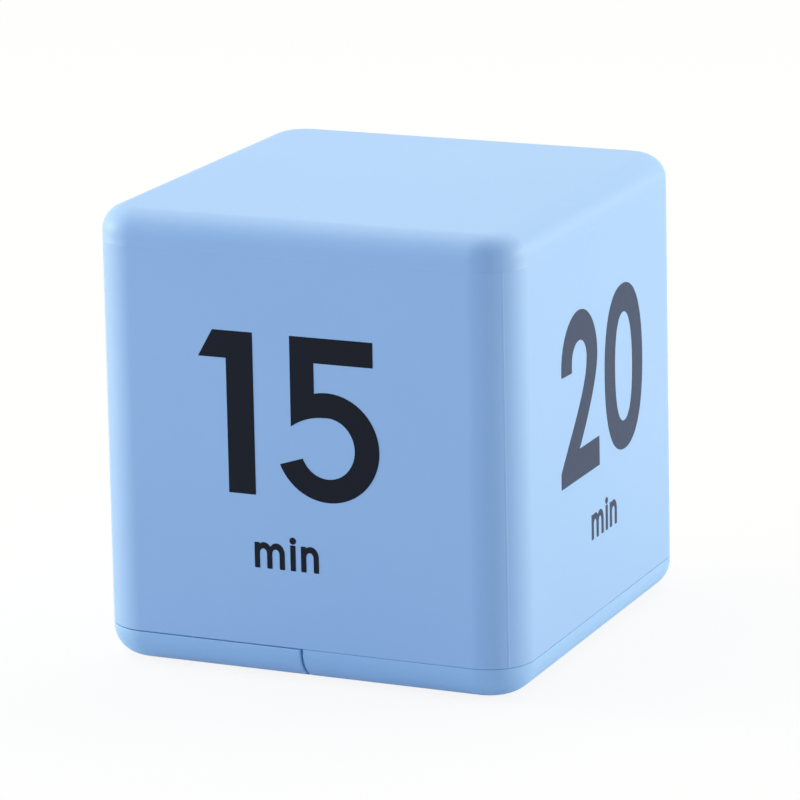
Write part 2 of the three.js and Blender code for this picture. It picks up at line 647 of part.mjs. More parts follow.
// Board with notches for the housing's posts and holes for pins and screws.
function addBoard() {
	const holes = boardPosts.map(([x, y]) => rod(boardScrew.shank + slide, x, y, 0, height));
	for (const [x, y] of coverPosts) {
		const room = post.radius + slide * 2;
		holes.push(box([x - room, width], [Math.min(y - Math.sign(y) * room, Math.sign(y) * depth),
			Math.max(y - Math.sign(y) * room, Math.sign(y) * depth)], [0, height]));
	}
	for (const side of [-1, 1]) {
		holes.push(rod(led.pin + slide, laneX, lcdY + side * led.pinGap, 0, height, tinySides));
		for (let i = -1; i <= 1; i++) {
			holes.push(rod(volume.pin + slide, laneX + side * (volume.halfX - volume.shell - volume.pin * 2),
				volumeY + i * volume.pinPitch, 0, height, tinySides));
		}
	}
	for (const { place: [x, y], turn } of tiltPlaces) {
		for (const side of [-1, 1]) {
			const pin = new THREE.Vector3(tiltPins[0], side * tiltPins[1], 0)
				.applyAxisAngle(new THREE.Vector3(0, 0, 1), turn * Math.PI / 2);
			holes.push(rod(tilt.pin * Math.SQRT2 + slide / 2, x + pin.x, y + pin.y, 0, height, tinySides));
		}
	}
	add('main_board', cut(box(boardX, [-boardY, boardY], [boardBottom, boardTop]), ...holes), green);

	const z = boardTop + seat;
	const blobX = laneX - blob.radius - led.pin - slide;
	const blobY = boardPosts[0][1] + blob.radius + blob.gap;
	add('chip_blob', turned([[0, 0], ...dome(blob.radius, blob.rise)]).translate(blobX, blobY, z), dark);
	const [canX, canY] = boardPlace(capacitorShares);
	add('capacitor', turned([
		[0, 0], [capacitor.radius, 0], [capacitor.radius, capacitor.bandRise - capacitor.band],
		[capacitor.radius - capacitor.band, capacitor.bandRise],
		[capacitor.radius, capacitor.bandRise + capacitor.band], [capacitor.radius, capacitor.rise],
		[0, capacitor.rise],
	]).translate(canX, canY, z), label);
	const [quartzX, quartzY] = boardPlace(crystalShares);
	const quartz = rod(crystal.radius, 0, 0, 0, crystal.length).rotateY(Math.PI / 2)
		.translate(quartzX, quartzY, z + crystal.radius);
	const quartzPins = [-1, 1].map((side) => box([quartzX - crystal.pinOut, quartzX + crystal.pinOut],
		[quartzY + side * crystal.pinGap - crystal.pin, quartzY + side * crystal.pinGap + crystal.pin],
		[z + crystal.radius - crystal.pin, z + crystal.radius + crystal.pin]));
	add('crystal', join(quartz, ...quartzPins), nickel);
	resistorShares.forEach((shares, i) => {
		const [x, y] = boardPlace(shares);
		add(`resistor_${i + 1}`, box([-chip.halfX, chip.halfX], [-chip.halfY, chip.halfY], [0, chip.rise]), dark)
			.position.set(x, y, z);
	});
}

// Leads inside the case. Each keeps clear of what it is soldered to by the thickness of its joint.
function addWires() {
	const tabY = seat + contact.thick - boxHalfY;
	const tabZ = boxRoof + contact.tabRise / 2;
	const high = boxRoof + contact.tabRise + wire.radius * 3;
	const lead = (name, x, [padX, padY], material) => add(name, tube([
		new THREE.Vector3(x, tabY + wire.pad, tabZ),
		new THREE.Vector3(x, tabY + wire.pad + wire.radius * 3, tabZ + wire.radius),
		new THREE.Vector3(x + (padX - x) * leadShares.across, tabY + (padY - tabY) * leadShares.along, high),
		new THREE.Vector3(padX - wire.radius * 2, padY, high),
		new THREE.Vector3(padX, padY, boardTop + (high - boardTop) / 2),
		new THREE.Vector3(padX, padY, boardTop + wire.pad),
	], wire.radius, wire.sides, wire.steps), material);
	lead('black_battery_wire', cellX[0], boardPlace(blackPadShares), blackWire);
	lead('red_battery_wire', cellX[1], boardPlace(redPadShares), redWire);
	const rise = (name, x, y, from, material) => add(name, tube([
		new THREE.Vector3(x, y, from + wire.pad),
		new THREE.Vector3(x, y + wire.radius, (from + boardBottom) / 2),
		new THREE.Vector3(x, y, boardBottom - wire.pad),
	], wire.radius, wire.sides, wire.riseSteps), material);
	rise('black_sounder_wire', bayX + disc - sounder.bareEdge / 2, soundY, discTop, blackWire);
	rise('red_sounder_wire', bayX, soundY, discTop + seat + sounder.ceramicThick, redWire);
}

// Outlines of the numerals, as shares of the digit height from the left end of the baseline.
const oneShares = [[0, 0.831], [0.185, 0.831], [0.185, 0], [0.356, 0], [0.356, 1], [0.097, 1]];
const zeroShares = { x: 0.321, y: 0.5, outer: [0.321, 0.516], inner: [0.148, 0.345], handle: 0.6 };
const twoShares = { x: 0.296, y: 0.69, outer: [0.296, 0.338], inner: [0.139, 0.162], bar: 0.176, step: 0.102,
	right: 0.61, corner: 0.296, outDrop: 0.538, outPull: [0.444, 0.39], inPull: [0.184, 0.297], inDrop: 0.49 };
const fiveShares = { left: 0.083, right: 0.62, bar: 0.845, inner: 0.238, x: 0.322, y: 0.326, outer: 0.333,
	innerX: 0.179, innerY: 0.19, low: [0.081, 0.444], bend: [0.18, 0.515] };
const threeShares = { x: 0.3, top: [0.735, 0.275, 0.278], topInner: [0.12, 0.122], low: [0.318, 0.318, 0.332],
	lowInner: [0.16, 0.175], arm: 0.2, armLow: 0.49, armHigh: 0.615 };
const sixShares = { x: 0.325, y: 0.325, outer: 0.338, inner: 0.175, arm: [0.36, 0.555] };
const digitWidthShares = { 0: 0.642, 1: 0.356, 2: 0.61, 3: 0.635, 5: 0.655, 6: 0.663 };

function oval(path, x, y, [rx, ry], handle) {
	const hx = rx * handle;
	const hy = ry * handle;
	path.moveTo(x + rx, y);
	path.bezierCurveTo(x + rx, y + hy, x + hx, y + ry, x, y + ry);
	path.bezierCurveTo(x - hx, y + ry, x - rx, y + hy, x - rx, y);
	path.bezierCurveTo(x - rx, y - hy, x - hx, y - ry, x, y - ry);
	path.bezierCurveTo(x + hx, y - ry, x + rx, y - hy, x + rx, y);
	return path;
}

const glyphs = {
	0() {
		const { x, y, outer, inner, handle } = zeroShares;
		const shape = oval(new THREE.Shape(), x, y, outer, handle);
		shape.holes.push(oval(new THREE.Path(), x, y, inner, handle));
		return shape;
	},
	1() {
		return new THREE.Shape(oneShares.map(([x, y]) => new THREE.Vector2(x, y)));
	},
	2() {
		const { x, y, outer, inner, bar, step, right, corner, outDrop, outPull, inPull, inDrop } = twoShares;
		const shape = new THREE.Shape();
		shape.absellipse(x, y, ...outer, Math.PI, 0, true);
		shape.bezierCurveTo(x + outer[0], outDrop, ...outPull, corner, bar);
		shape.lineTo(right, bar);
		shape.lineTo(right, 0);
		shape.lineTo(0, 0);
		shape.lineTo(0, step);
		shape.bezierCurveTo(...inPull, x + inner[0], inDrop, x + inner[0], y);
		shape.absellipse(x, y, ...inner, 0, Math.PI, false);
		return shape;
	},
	3() {
		const { x, top, topInner, low, lowInner, arm, armLow, armHigh } = threeShares;
		const degrees = Math.PI / 180;
		const shape = new THREE.Shape();
		shape.absellipse(x, top[0], top[1], top[2], 165 * degrees, -36 * degrees, true);
		shape.absellipse(low[1], low[0], low[1], low[2], 50 * degrees, -162 * degrees, true);
		shape.absellipse(low[1], low[0], ...lowInner, -162 * degrees, 90 * degrees, false);
		shape.lineTo(arm, armLow);
		shape.lineTo(arm, armHigh);
		shape.absellipse(x, top[0], ...topInner, -90 * degrees, 165 * degrees, false);
		return shape;
	},
	5() {
		const { left, right, bar, inner, x, y, outer, innerX, innerY, low, bend } = fiveShares;
		const degrees = Math.PI / 180;
		const shape = new THREE.Shape();
		shape.moveTo(left, 1);
		shape.lineTo(right, 1);
		shape.lineTo(right, bar);
		shape.lineTo(inner, bar);
		shape.absarc(x, y, outer, 104.7 * degrees, -158.4 * degrees, true);
		shape.absellipse(x, y, innerX, innerY, -159 * degrees, 95 * degrees, false);
		shape.quadraticCurveTo(...bend, ...low);
		return shape;
	},
	6() {
		const { x, y, outer, inner, arm } = sixShares;
		const degrees = Math.PI / 180;
		const shape = new THREE.Shape();
		shape.moveTo(arm[0], 1);
		shape.lineTo(arm[1], 1);
		shape.absarc(x, y, outer, 84 * degrees, -209 * degrees, true);
		const hole = new THREE.Path();
		hole.absarc(x, y, inner, 0, Math.PI * 2);
		shape.holes.push(hole);
		return shape;
	},
};

// Face frames: across, up and out, with the distance of the face from the axis.
const faces = {
	front: { directions: [[1, 0, 0], [0, 0, 1], [0, -1, 0]], distance: halfY },
	right: { directions: [[0, 1, 0], [0, 0, 1], [1, 0, 0]], distance: halfX },
	back: { directions: [[-1, 0, 0], [0, 0, 1], [0, 1, 0]], distance: halfY },
	left: { directions: [[0, -1, 0], [0, 0, 1], [-1, 0, 0]], distance: halfX },
};

// The digits of one face. Each fills its own pocket in the wall, flush, so that the cube lies flat on it.
function numerals(face, digits, middle) {
	const [across, up, out] = faces[face].directions.map((v) => new THREE.Vector3(...v));
	const middlePoint = out.clone().multiplyScalar(faces[face].distance);
	const frame = new THREE.Matrix4().makeBasis(across, up, out).setPosition(middlePoint);
	const wides = digits.map((name) => digitWidthShares[name] * digit.height);
	let x = middle - (wides[0] + wides[1] + digit.gap) / 2;
	return digits.map((name, i) => {
		const left = x;
		x += wides[i] + digit.gap;
		const raised = (rise) => new THREE.ExtrudeGeometry(glyphs[name](), {
			depth: (ink + rise) / digit.height, bevelEnabled: false, curveSegments: edgeSteps + 1,
		}).scale(digit.height, digit.height, digit.height).translate(left, digit.base, -ink).applyMatrix4(frame);
		return { name: `digit_${name}_of_${digits.join('')}`, filling: raised(0), pocket: raised(overrun) };
	});
}

const printed = [
	...numerals('front', [1, 5], numberOffset.front),
	...numerals('right', [2, 0], numberOffset.right),
	...numerals('back', [3, 0], numberOffset.back),
	...numerals('left', [6, 0], numberOffset.left),
];

add('housing', housing(printed.map(({ pocket }) => pocket)), blue);
add('base_cover', baseCover(), blue);
add('battery_door', batteryDoor(), blue);
addBatteries();
addScrews();
addDisplay();
addLamp();
addSounder();
addSwitch();
tiltPlaces.forEach((place, i) => addTiltSwitch(place, i + 1));
addBoard();
addWires();
for (const { name, filling } of printed) add(name, filling, black);

export default cubeTimer;
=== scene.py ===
"""A cube timer in pale blue ABS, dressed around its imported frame.

The numbers on its four sides are countdowns, and the base holds the display, the sounder, the volume switch
and the battery door. Sizes are in millimetres, and MM turns them into metres. Each new piece is a closed
surface worked out with numpy: a profile carried round a rounded outline, a section carried along a path, or a
flat outline given a thickness. Such surfaces are joined and cut into the moulded shells. A size that ends in
_edges holds two radii: of the upright edges and of the rims, or of a hole's mouth and of its end.
"""

import json
import logging
import math
from dataclasses import dataclass, field
from enum import Enum
from typing import Iterable, Sequence

import bpy
import numpy as np
from mathutils import Matrix, Vector
from mathutils.geometry import tessellate_polygon
from numpy.typing import NDArray


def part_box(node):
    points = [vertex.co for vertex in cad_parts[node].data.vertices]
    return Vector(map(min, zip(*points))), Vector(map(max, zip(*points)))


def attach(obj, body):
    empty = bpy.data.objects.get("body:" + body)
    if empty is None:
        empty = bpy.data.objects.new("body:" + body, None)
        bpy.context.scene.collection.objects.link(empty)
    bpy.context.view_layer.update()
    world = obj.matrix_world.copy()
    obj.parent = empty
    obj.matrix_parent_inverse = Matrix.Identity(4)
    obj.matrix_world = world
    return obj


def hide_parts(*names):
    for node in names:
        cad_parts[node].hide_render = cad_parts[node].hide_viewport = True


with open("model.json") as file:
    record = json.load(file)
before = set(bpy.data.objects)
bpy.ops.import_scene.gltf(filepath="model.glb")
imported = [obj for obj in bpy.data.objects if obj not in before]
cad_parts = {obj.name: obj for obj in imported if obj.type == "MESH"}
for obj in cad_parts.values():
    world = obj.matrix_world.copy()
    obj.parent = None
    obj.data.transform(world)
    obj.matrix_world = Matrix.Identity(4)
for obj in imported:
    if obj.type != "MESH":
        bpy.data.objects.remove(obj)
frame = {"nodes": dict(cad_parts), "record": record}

Array = NDArray[np.float64]
Corner = tuple[float, float, float]
Spot = tuple[float, float]
Mesh = bpy.types.Mesh
Socket = bpy.types.NodeSocket
Tree = bpy.types.NodeTree
MM = 0.001
SMOOTH_ANGLE = math.radians(28)
# How far a cutter starts outside the face that it opens, so that no skin is left.
OVERRUN = 1.0
# A distance well past the whole object, for cutters that take away all of one side.
BEYOND = 100.0
# The play round a seated part, and the depth by which joined shapes go into each other.
SEAT = 0.1
# The radius at which a turned profile starts and ends, just off its axis.
CORE = 0.1
# The radius of a corner that looks sharp.
SHARP = 0.01
# Nearer points of an outline than this are one point.
SAME = 1e-9
# The slanting direction that a tube's section starts from, because no path here runs along it.
SLANT = np.array([0.31, 0.17, 0.94])
# The thickness of the contacts' sheet metal, and half the width of the tabs that the leads are soldered to.
SHEET = 0.4
TAB_HALF = 1.25

logging.basicConfig(level=logging.INFO, format="%(message)s")
log = logging.getLogger("cube_timer")


class Axis(Enum):
    """The direction in which an upright shape's own Z ends up."""

    UP = ((1, 0, 0), (0, 1, 0), (0, 0, 1))
    DOWN = ((1, 0, 0), (0, -1, 0), (0, 0, -1))
    FRONT = ((1, 0, 0), (0, 0, 1), (0, -1, 0))
    BACK = ((-1, 0, 0), (0, 0, 1), (0, 1, 0))
    RIGHT = ((0, 1, 0), (0, 0, 1), (1, 0, 0))
    LEFT = ((0, -1, 0), (0, 0, 1), (-1, 0, 0))


@dataclass(frozen=True)
class Box:
    """A node's box in millimetres."""

    low: Array
    high: Array

    @classmethod
    def of(cls, *names: str) -> "Box":
        """The box round one or more nodes.

        Args:
            names: the nodes' names in the frame.

        Returns:
            Their common box at rest.
        """
        corners = [np.array(corner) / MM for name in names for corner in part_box(name)]
        return cls(np.min(corners, axis=0), np.max(corners, axis=0))

    @property
    def middle(self) -> Array:
        """The middle of the box."""
        return (self.low + self.high) / 2

    @property
    def half(self) -> Array:
        """Half the size of the box along each axis."""
        return (self.high - self.low) / 2

    def outline(self, corner: float, grow: float = 0.0) -> "Outline":
        """The box in plan, grown by a margin and with rounded corners."""
        x, y = self.middle[:2]
        return Outline(x, y, self.half[0] + grow, self.half[1] + grow, corner, 6)

    def prism(self, corner: float, edge: float = 0.0) -> Mesh:
        """The box itself, with rounded upright edges and rims."""
        return self.outline(corner).prism(self.low[2], self.high[2], edge)


def rounded(corners: Sequence[Corner], steps: int = 6) -> Array:
    """A polyline with rounded corners.

    A corner of radius r and turn a is cut off at r tan(a / 2) along both of its sides. Between those points
    runs the rational curve of second degree whose middle weight is cos(a / 2), which is the round arc.

    Args:
        corners: x, y and radius of each corner, zero for a sharp one.
        steps: the pieces of each arc.

    Returns:
        The points of the line, as rows of x and y.
    """
    places = np.array([corner[:2] for corner in corners], float)
    pieces = []
    share = np.linspace(0, 1, steps + 1)[:, None]
    for index, (place, (_, _, radius)) in enumerate(zip(places, corners)):
        if radius == 0 or index in (0, len(corners) - 1):
            pieces.append(place[None])
            continue
        back, on = places[index - 1] - place, places[index + 1] - place
        back, on = back / np.linalg.norm(back), on / np.linalg.norm(on)
        half_turn = (math.pi - math.acos(float(np.clip(back @ on, -1, 1)))) / 2
        reach, weight = radius * math.tan(half_turn), math.cos(half_turn)
        start, end = place + back * reach, place + on * reach
        curve = (1 - share) ** 2 * start + 2 * weight * share * (1 - share) * place + share**2 * end
        pieces.append(curve / ((1 - share) ** 2 + 2 * weight * share * (1 - share) + share**2))
    return np.vstack(pieces)


def arc(x: float, y: float, radii: Spot, start: float, end: float, steps: int = 24) -> Array:
    """Points of an oval arc: x + rx cos t and y + ry sin t, with t in even steps from start to end.

    Args:
        x, y: the middle of the oval.
        radii: its half width and half height.
        start, end: the first and last angle in degrees.
        steps: the pieces of the arc.

    Returns:
        Rows of x and y.
    """
    turn = np.radians(np.linspace(start, end, steps + 1))
    return np.stack([x + radii[0] * np.cos(turn), y + radii[1] * np.sin(turn)], 1)


def bezier(*points: Spot, steps: int = 16) -> Array:
    """A Bezier curve: the sum of its points, each weighted with its Bernstein share.

    Args:
        points: three or four points.
        steps: the pieces of the curve.

    Returns:
        Rows of x and y.
    """
    degree = len(points) - 1
    share = np.linspace(0, 1, steps + 1)[:, None]
    return sum(math.comb(degree, i) * share**i * (1 - share) ** (degree - i) * np.array(point)
               for i, point in enumerate(points))


def mesh_of(name: str, points: Array, faces: list[list[int]]) -> Mesh:
    """A mesh in metres from points in millimetres.

    Args:
        name: the mesh's name.
        points: rows of x, y and z.
        faces: the corners of each face.

    Returns:
        The mesh, with its faces pointing out.
    """
    mesh = bpy.data.meshes.new(name)
    mesh.from_pydata((points * MM).tolist(), [], faces)
    mesh.update()
    return mesh


def closed_grid(points: Array, name: str = "solid") -> Mesh:
    """A closed surface from a grid whose columns close on themselves, with a flat cap over either end.

    Neighbouring rows are joined by quads. The volume under the quads, summed from their two triangles each,
    tells whether they point out, and they are turned round where it is negative.

    Args:
        points: rows, columns and the three coordinates.
        name: the mesh's name.

    Returns:
        The mesh.
    """
    rows, columns = points.shape[:2]
    row, column = np.meshgrid(np.arange(rows - 1), np.arange(columns), indexing="ij")
    beside = (column + 1) % columns
    corners = [(row, column), (row, beside), (row + 1, beside), (row + 1, column)]
    quads = np.stack([r * columns + c for r, c in corners], -1).reshape(-1, 4)
    flat = points.reshape(-1, 3)
    a, b, c, d = (flat[quads[:, i]] - flat.mean(0) for i in range(4))
    volume = np.einsum("ij,ij->", a, np.cross(b, c)) + np.einsum("ij,ij->", a, np.cross(c, d))
    first, last = np.arange(columns), np.arange((rows - 1) * columns, rows * columns)
    faces = quads.tolist() + [first[::-1].tolist(), last.tolist()]
    if volume < 0:
        faces = [face[::-1] for face in faces]
    return mesh_of(name, flat, faces)


@dataclass(frozen=True)
class Outline:
    """A rounded rectangle in plan, round which a profile is carried."""

    x: float
    y: float
    half_x: float
    half_y: float
    corner: float
    steps: int = 10

    def grid(self, profile: Array, shares: Array | None = None) -> Array:
        """The profile carried round the outline.

        A point of the outline is the middle of its nearest corner arc plus the direction n(t) times the
        corner's radius. The profile's first value moves it out along n(t), and the second one is its height.

        Args:
            profile: rows of offset and height.
            shares: the places of the columns within each quarter turn, from 0 to 1, in place of even ones.

        Returns:
            The grid's points: rows, columns and coordinates.
        """
        shares = np.linspace(0, 1, self.steps + 1) if shares is None else shares
        turn = ((np.arange(4)[:, None] + shares) * math.pi / 2).ravel()
        across = np.repeat([1, -1, -1, 1], len(shares)) * (self.half_x - self.corner) + self.x
        along = np.repeat([1, 1, -1, -1], len(shares)) * (self.half_y - self.corner) + self.y
        plan = np.stack([across + np.cos(turn), along + np.sin(turn)], 1)
        fresh = np.linalg.norm(plan - np.roll(plan, 1, 0), axis=1) > SAME
        turn, across, along = turn[fresh], across[fresh], along[fresh]
        reach = self.corner + profile[:, :1]
        high = np.broadcast_to(profile[:, 1:], (len(profile), len(turn)))
        return np.stack([across + reach * np.cos(turn), along + reach * np.sin(turn), high], -1)

    def solid(self, corners: Sequence[Corner], name: str = "solid", steps: int = 6) -> Mesh:
        """The closed surface of a profile given by its corners: offset, height and radius of each."""
        return closed_grid(self.grid(rounded(corners, steps)), name)

    def prism(self, low: float, high: float, edge: float = 0.0) -> Mesh:
        """An upright prism from one height to another.

        Args:
            low, high: its lowest and highest point.
            edge: the radius of its two rims.

        Returns:
            The mesh.
        """
        if edge == 0:
            return self.solid([(0, low, 0), (0, high, 0)])
        return self.solid([(-edge, low, 0), (0, low, edge), (0, high, edge), (-edge, high, 0)], steps=4)

    def mouth(self, depth: float, flare: float, heel: float = 0.0) -> Mesh:
        """A cutter for a hole from below.

        Args:
            depth: how far the hole goes up from height 0.
            flare: the radius that rounds its mouth.
            heel: the radius between its wall and its end.

        Returns:
            The mesh.
        """
        return self.solid([(flare, -OVERRUN, 0), (flare, 0, 0), (0, 0, flare), (0, depth, heel),
                           (-heel - SHARP, depth, 0)], steps=4)


def disc(x: float, y: float, radius: float, steps: int = 12) -> Outline:
    """A round outline."""
    return Outline(x, y, radius, radius, radius, steps)


def lathe(corners: Sequence[Corner], name: str = "turned", sides: int = 8, steps: int = 6) -> Mesh:
    """A shape turned round Z, from the radius, height and rounding of each corner of its profile.

    Args:
        corners: the profile from its first end to its last, none of them right on the axis.
        name: the mesh's name.
        sides: the columns of a quarter turn.
        steps: the pieces of each rounded corner.

    Returns:
        The closed mesh.
    """
    return Outline(0, 0, 0, 0, 0, sides).solid(corners, name, steps)


def block(x: Spot, y: Spot, z: Spot, corner: float = SHARP, edge: float = 0.0) -> Mesh:
    """An upright block between pairs of limits.

    Args:
        x, y, z: its lowest and highest place along each axis.
        corner: the radius of its upright edges.
        edge: the radius of its rims.

    Returns:
        The mesh.
    """
    steps = 1 if corner == SHARP else 6
    plan = Outline((x[0] + x[1]) / 2, (y[0] + y[1]) / 2, (x[1] - x[0]) / 2, (y[1] - y[0]) / 2, corner, steps)
    return plan.prism(z[0], z[1], edge)


def ordered(one: float, other: float) -> Spot:
    """Two limits, the lower one first."""
    return min(one, other), max(one, other)


def all_past(x: float, way: int) -> Mesh:
    """A cutter for everything on one side of a place across the object.

    Args:
        x: the place.
        way: 1 for what is to the right of it, -1 for what is to the left.

    Returns:
        The closed mesh.
    """
    return block(ordered(x, way * BEYOND), (-BEYOND, BEYOND), (-BEYOND, 2 * BEYOND))


def swept(path: Array, section: Array, normals: Array, sides: Array, name: str = "swept") -> Mesh:
    """A section carried along a path: path(t) + a normal(t) + b side(t), for each of its points (a, b).

    Args:
        path: rows of x, y and z.
        section: rows of a and b, closed on itself.
        normals, sides: the section's two directions at each point of the path.
        name: the mesh's name.

    Returns:
        The closed surface, with flat ends.
    """
    points = path[:, None] + section[:, :1] * normals[:, None] + section[:, 1:] * sides[:, None]
    return closed_grid(points, name)


def tube(path: Array, radius: float, name: str = "tube", sides: int = 12) -> Mesh:
    """A round tube along a path, whose normals are one slanting direction made square to it at each point.

    Args:
        path: rows of x, y and z.
        radius: the tube's radius.
        name: the mesh's name.
        sides: the sides of its section.

    Returns:
        The closed surface.
    """
    along = np.gradient(path, axis=0)
    along /= np.linalg.norm(along, axis=1, keepdims=True)
    normals = SLANT - (along @ SLANT)[:, None] * along
    normals /= np.linalg.norm(normals, axis=1, keepdims=True)
    turn = np.linspace(0, 2 * math.pi, sides, endpoint=False)
    section = radius * np.stack([np.cos(turn), np.sin(turn)], 1)
    return swept(path, section, normals, np.cross(along, normals), name)


def plate(outlines: Sequence[Array], axis: Axis, level: float, thick: float, name: str) -> Mesh:
    """Flat outlines given a thickness on a face.

    The front is the outlines' area cut into triangles, the back the same lower down and turned round, and a
    row of quads joins the two along each outline.

    Args:
        outlines: the outer outline and its holes, as rows of two coordinates across and up the face.
        axis: the direction that the face looks in.
        level: the distance of the plate's back from the middle of the object along that direction.
        thick: the plate's thickness.
        name: the mesh's name.

    Returns:
        The closed surface.
    """
    across, up, out = (np.array(direction, float) for direction in axis.value)
    flat = np.vstack(outlines)
    back = flat[:, :1] * across + flat[:, 1:] * up + level * out
    count = len(flat)
    triangles = np.array(tessellate_polygon([[Vector((*p, 0)) for p in line] for line in outlines]))
    a, b, c = (flat[triangles[:, i]] for i in range(3))
    turned = (b - a)[:, 0] * (c - a)[:, 1] - (b - a)[:, 1] * (c - a)[:, 0] < 0
    triangles[turned] = triangles[turned][:, ::-1]
    walls, start = [], 0
    for line in outlines:
        index = np.arange(len(line))
        beside = (index + 1) % len(line)
        area = np.sum(line[index, 0] * line[beside, 1] - line[beside, 0] * line[index, 1])
        index, beside = index + start, beside + start
        if (area < 0) == (start == 0):
            index, beside = beside, index
        walls.append(np.stack([index, beside, beside + count, index + count], 1))
        start += len(line)
    faces = (triangles + count).tolist() + triangles[:, ::-1].tolist() + np.vstack(walls).tolist()
    return mesh_of(name, np.vstack([back, back + thick * out]), faces)


def turned_to(mesh: Mesh, axis: Axis, place: Sequence[float]) -> Mesh:
    """Turns an upright shape so that it points along an axis, and puts its origin at a place.

    Args:
        mesh: the shape, changed in place.
        axis: where its Z goes.
        place: where its origin goes, in millimetres.

    Returns:
        The same mesh.
    """
    turn = Matrix(axis.value).transposed().to_4x4()
    mesh.transform(Matrix.Translation(Vector(place) * MM) @ turn)
    return mesh


def solder(x: float, y: float, z: float, side: int = 1, wide: float = 0.72, high: float = 0.5) -> Mesh:
    """A solder joint round a pin: a hollow-sided cone on the board, with a foot that goes into the board.

    Args:
        x, y: its place to the right and to the back.
        z: the height of the board's face.
        side: 1 on the board's upper face, -1 below it.
        wide: its radius on the board.
        high: its height.

    Returns:
        The closed mesh.
    """
    tip, foot, rim, rise = 0.02, -0.3, -0.02, 0.05
    flank = bezier((wide, 0), (wide * 0.6, high * 0.12), (wide * 0.5, high * 0.5), (wide * 0.42, high),
                   steps=5)
    cone = lathe([(tip, foot, 0), (wide * 0.5, foot, 0), (wide * 0.9, rim, 0), *((*p, 0) for p in flank),
                  (tip, high + rise, 0)], "solder", 6)
    return turned_to(cone, Axis.UP if side > 0 else Axis.DOWN, (x, y, z))


def blended(one: Array, other: Array, start: float, end: float, at: Array) -> Array:
    """Goes evenly from one point to another.

    Args:
        one, other: the points, or rows of them.
        start, end: the knots at which it is at the one and at the other.
        at: the knots at which it is wanted, as a column.

    Returns:
        Rows of points.
    """
    return (one * (end - at) + other * (at - start)) / (end - start)


def smooth_route(stops: Sequence[Sequence[float]], steps: int = 10) -> Array:
    """A smooth curve through its stops: a Catmull-Rom spline with centripetal knots.

    The knots are apart by the square root of the distance between the stops. Between two stops the curve
    blends two parabolas, each through three stops, evenly from one to the other.

    Args:
        stops: the points that it goes through.
        steps: the pieces between two stops.

    Returns:
        Rows of x, y and z.
    """
    route = np.array(stops, float)
    route = np.vstack([2 * route[0] - route[1], route, 2 * route[-1] - route[-2]])
    knots = np.concatenate([[0], np.cumsum(np.linalg.norm(np.diff(route, axis=0), axis=1) ** 0.5)])
    pieces = []
    for i in range(1, len(route) - 2):
        at = np.linspace(knots[i], knots[i + 1], steps, endpoint=i == len(route) - 3)[:, None]
        a, b, c = (blended(route[j], route[j + 1], knots[j], knots[j + 1], at) for j in (i - 1, i, i + 1))
        before = blended(a, b, knots[i - 1], knots[i + 1], at)
        after = blended(b, c, knots[i], knots[i + 2], at)
        pieces.append(blended(before, after, knots[i], knots[i + 1], at))
    return np.vstack(pieces)


def combined(name: str, base: Mesh, joins: Iterable[Mesh] = (),
             cuts: Iterable[Mesh] = (), keeps: Iterable[Mesh] = ()) -> Mesh:
    """Joins closed shapes to a base, cuts others out of it and keeps what lies inside the last ones.

    Args:
        name: the new mesh's name.
        base: the first shape.
        joins, cuts, keeps: the other shapes.

    Returns:
        One closed mesh.
    """
    work = bpy.data.objects.new(name, base)
    bpy.context.collection.objects.link(work)
    tools = []
    for operation, shapes in (("UNION", joins), ("DIFFERENCE", cuts), ("INTERSECT", keeps)):
        for shape in shapes:
            tool = bpy.data.objects.new("tool", shape)
            bpy.context.collection.objects.link(tool)
            tools.append(tool)
            step = work.modifiers.new(operation, "BOOLEAN")
            step.operation, step.solver, step.object = operation, "MANIFOLD", tool
    bpy.context.view_layer.update()
    result = bpy.data.meshes.new_from_object(work.evaluated_get(bpy.context.evaluated_depsgraph_get()))
    for spare in [work, *tools]:
        mesh = spare.data
        bpy.data.objects.remove(spare)
        bpy.data.meshes.remove(mesh)
    result.name = name
    return result


def mesh_named(mesh: Mesh, name: str) -> Mesh:
    """Gives a mesh its piece's name."""
    mesh.name = name
    return mesh


def welded(name: str, meshes: Sequence[Mesh]) -> Mesh:
    """Several closed meshes as one, side by side.

    Args:
        name: the new mesh's name.
        meshes: the meshes.

    Returns:
        The new mesh.
    """
    points = np.vstack([np.array([v.co for v in mesh.vertices]) for mesh in meshes]) / MM
    starts = np.cumsum([0] + [len(mesh.vertices) for mesh in meshes])
    faces = [[i + int(start) for i in face.vertices]
             for start, mesh in zip(starts, meshes) for face in mesh.polygons]
    return mesh_of(name, points, faces)


def linear(colour: str) -> tuple[float, float, float, float]:
    """Turns an sRGB hex colour into linear light, by the curve of the sRGB standard.

    Args:
        colour: such as "#a1c8f3".

    Returns:
        Red, green, blue and an alpha of 1.
    """
    codes = np.array([int(colour[i:i + 2], 16) for i in (1, 3, 5)]) / 255
    light = np.where(codes <= 0.04045, codes / 12.92, ((codes + 0.055) / 1.055) ** 2.4)
    return (*light.tolist(), 1.0)


def node(tree: Tree, kind: str, inputs: dict | None = None,
         **settings: object) -> bpy.types.Node:
    """Adds one shader node.

    Args:
        tree: the material's tree.
        kind: the node's type without its first word, such as "TexNoise".
        inputs: a value or another node's output for each input, by name or number.
        settings: the node's own settings.

    Returns:
        The node.
    """
    new = tree.nodes.new(f"ShaderNode{kind}")
    for key, value in settings.items():
        setattr(new, key, value)
    for key, value in (inputs or {}).items():
        if isinstance(value, Socket):
            tree.links.new(value, new.inputs[key])
        else:
            new.inputs[key].default_value = value
    return new


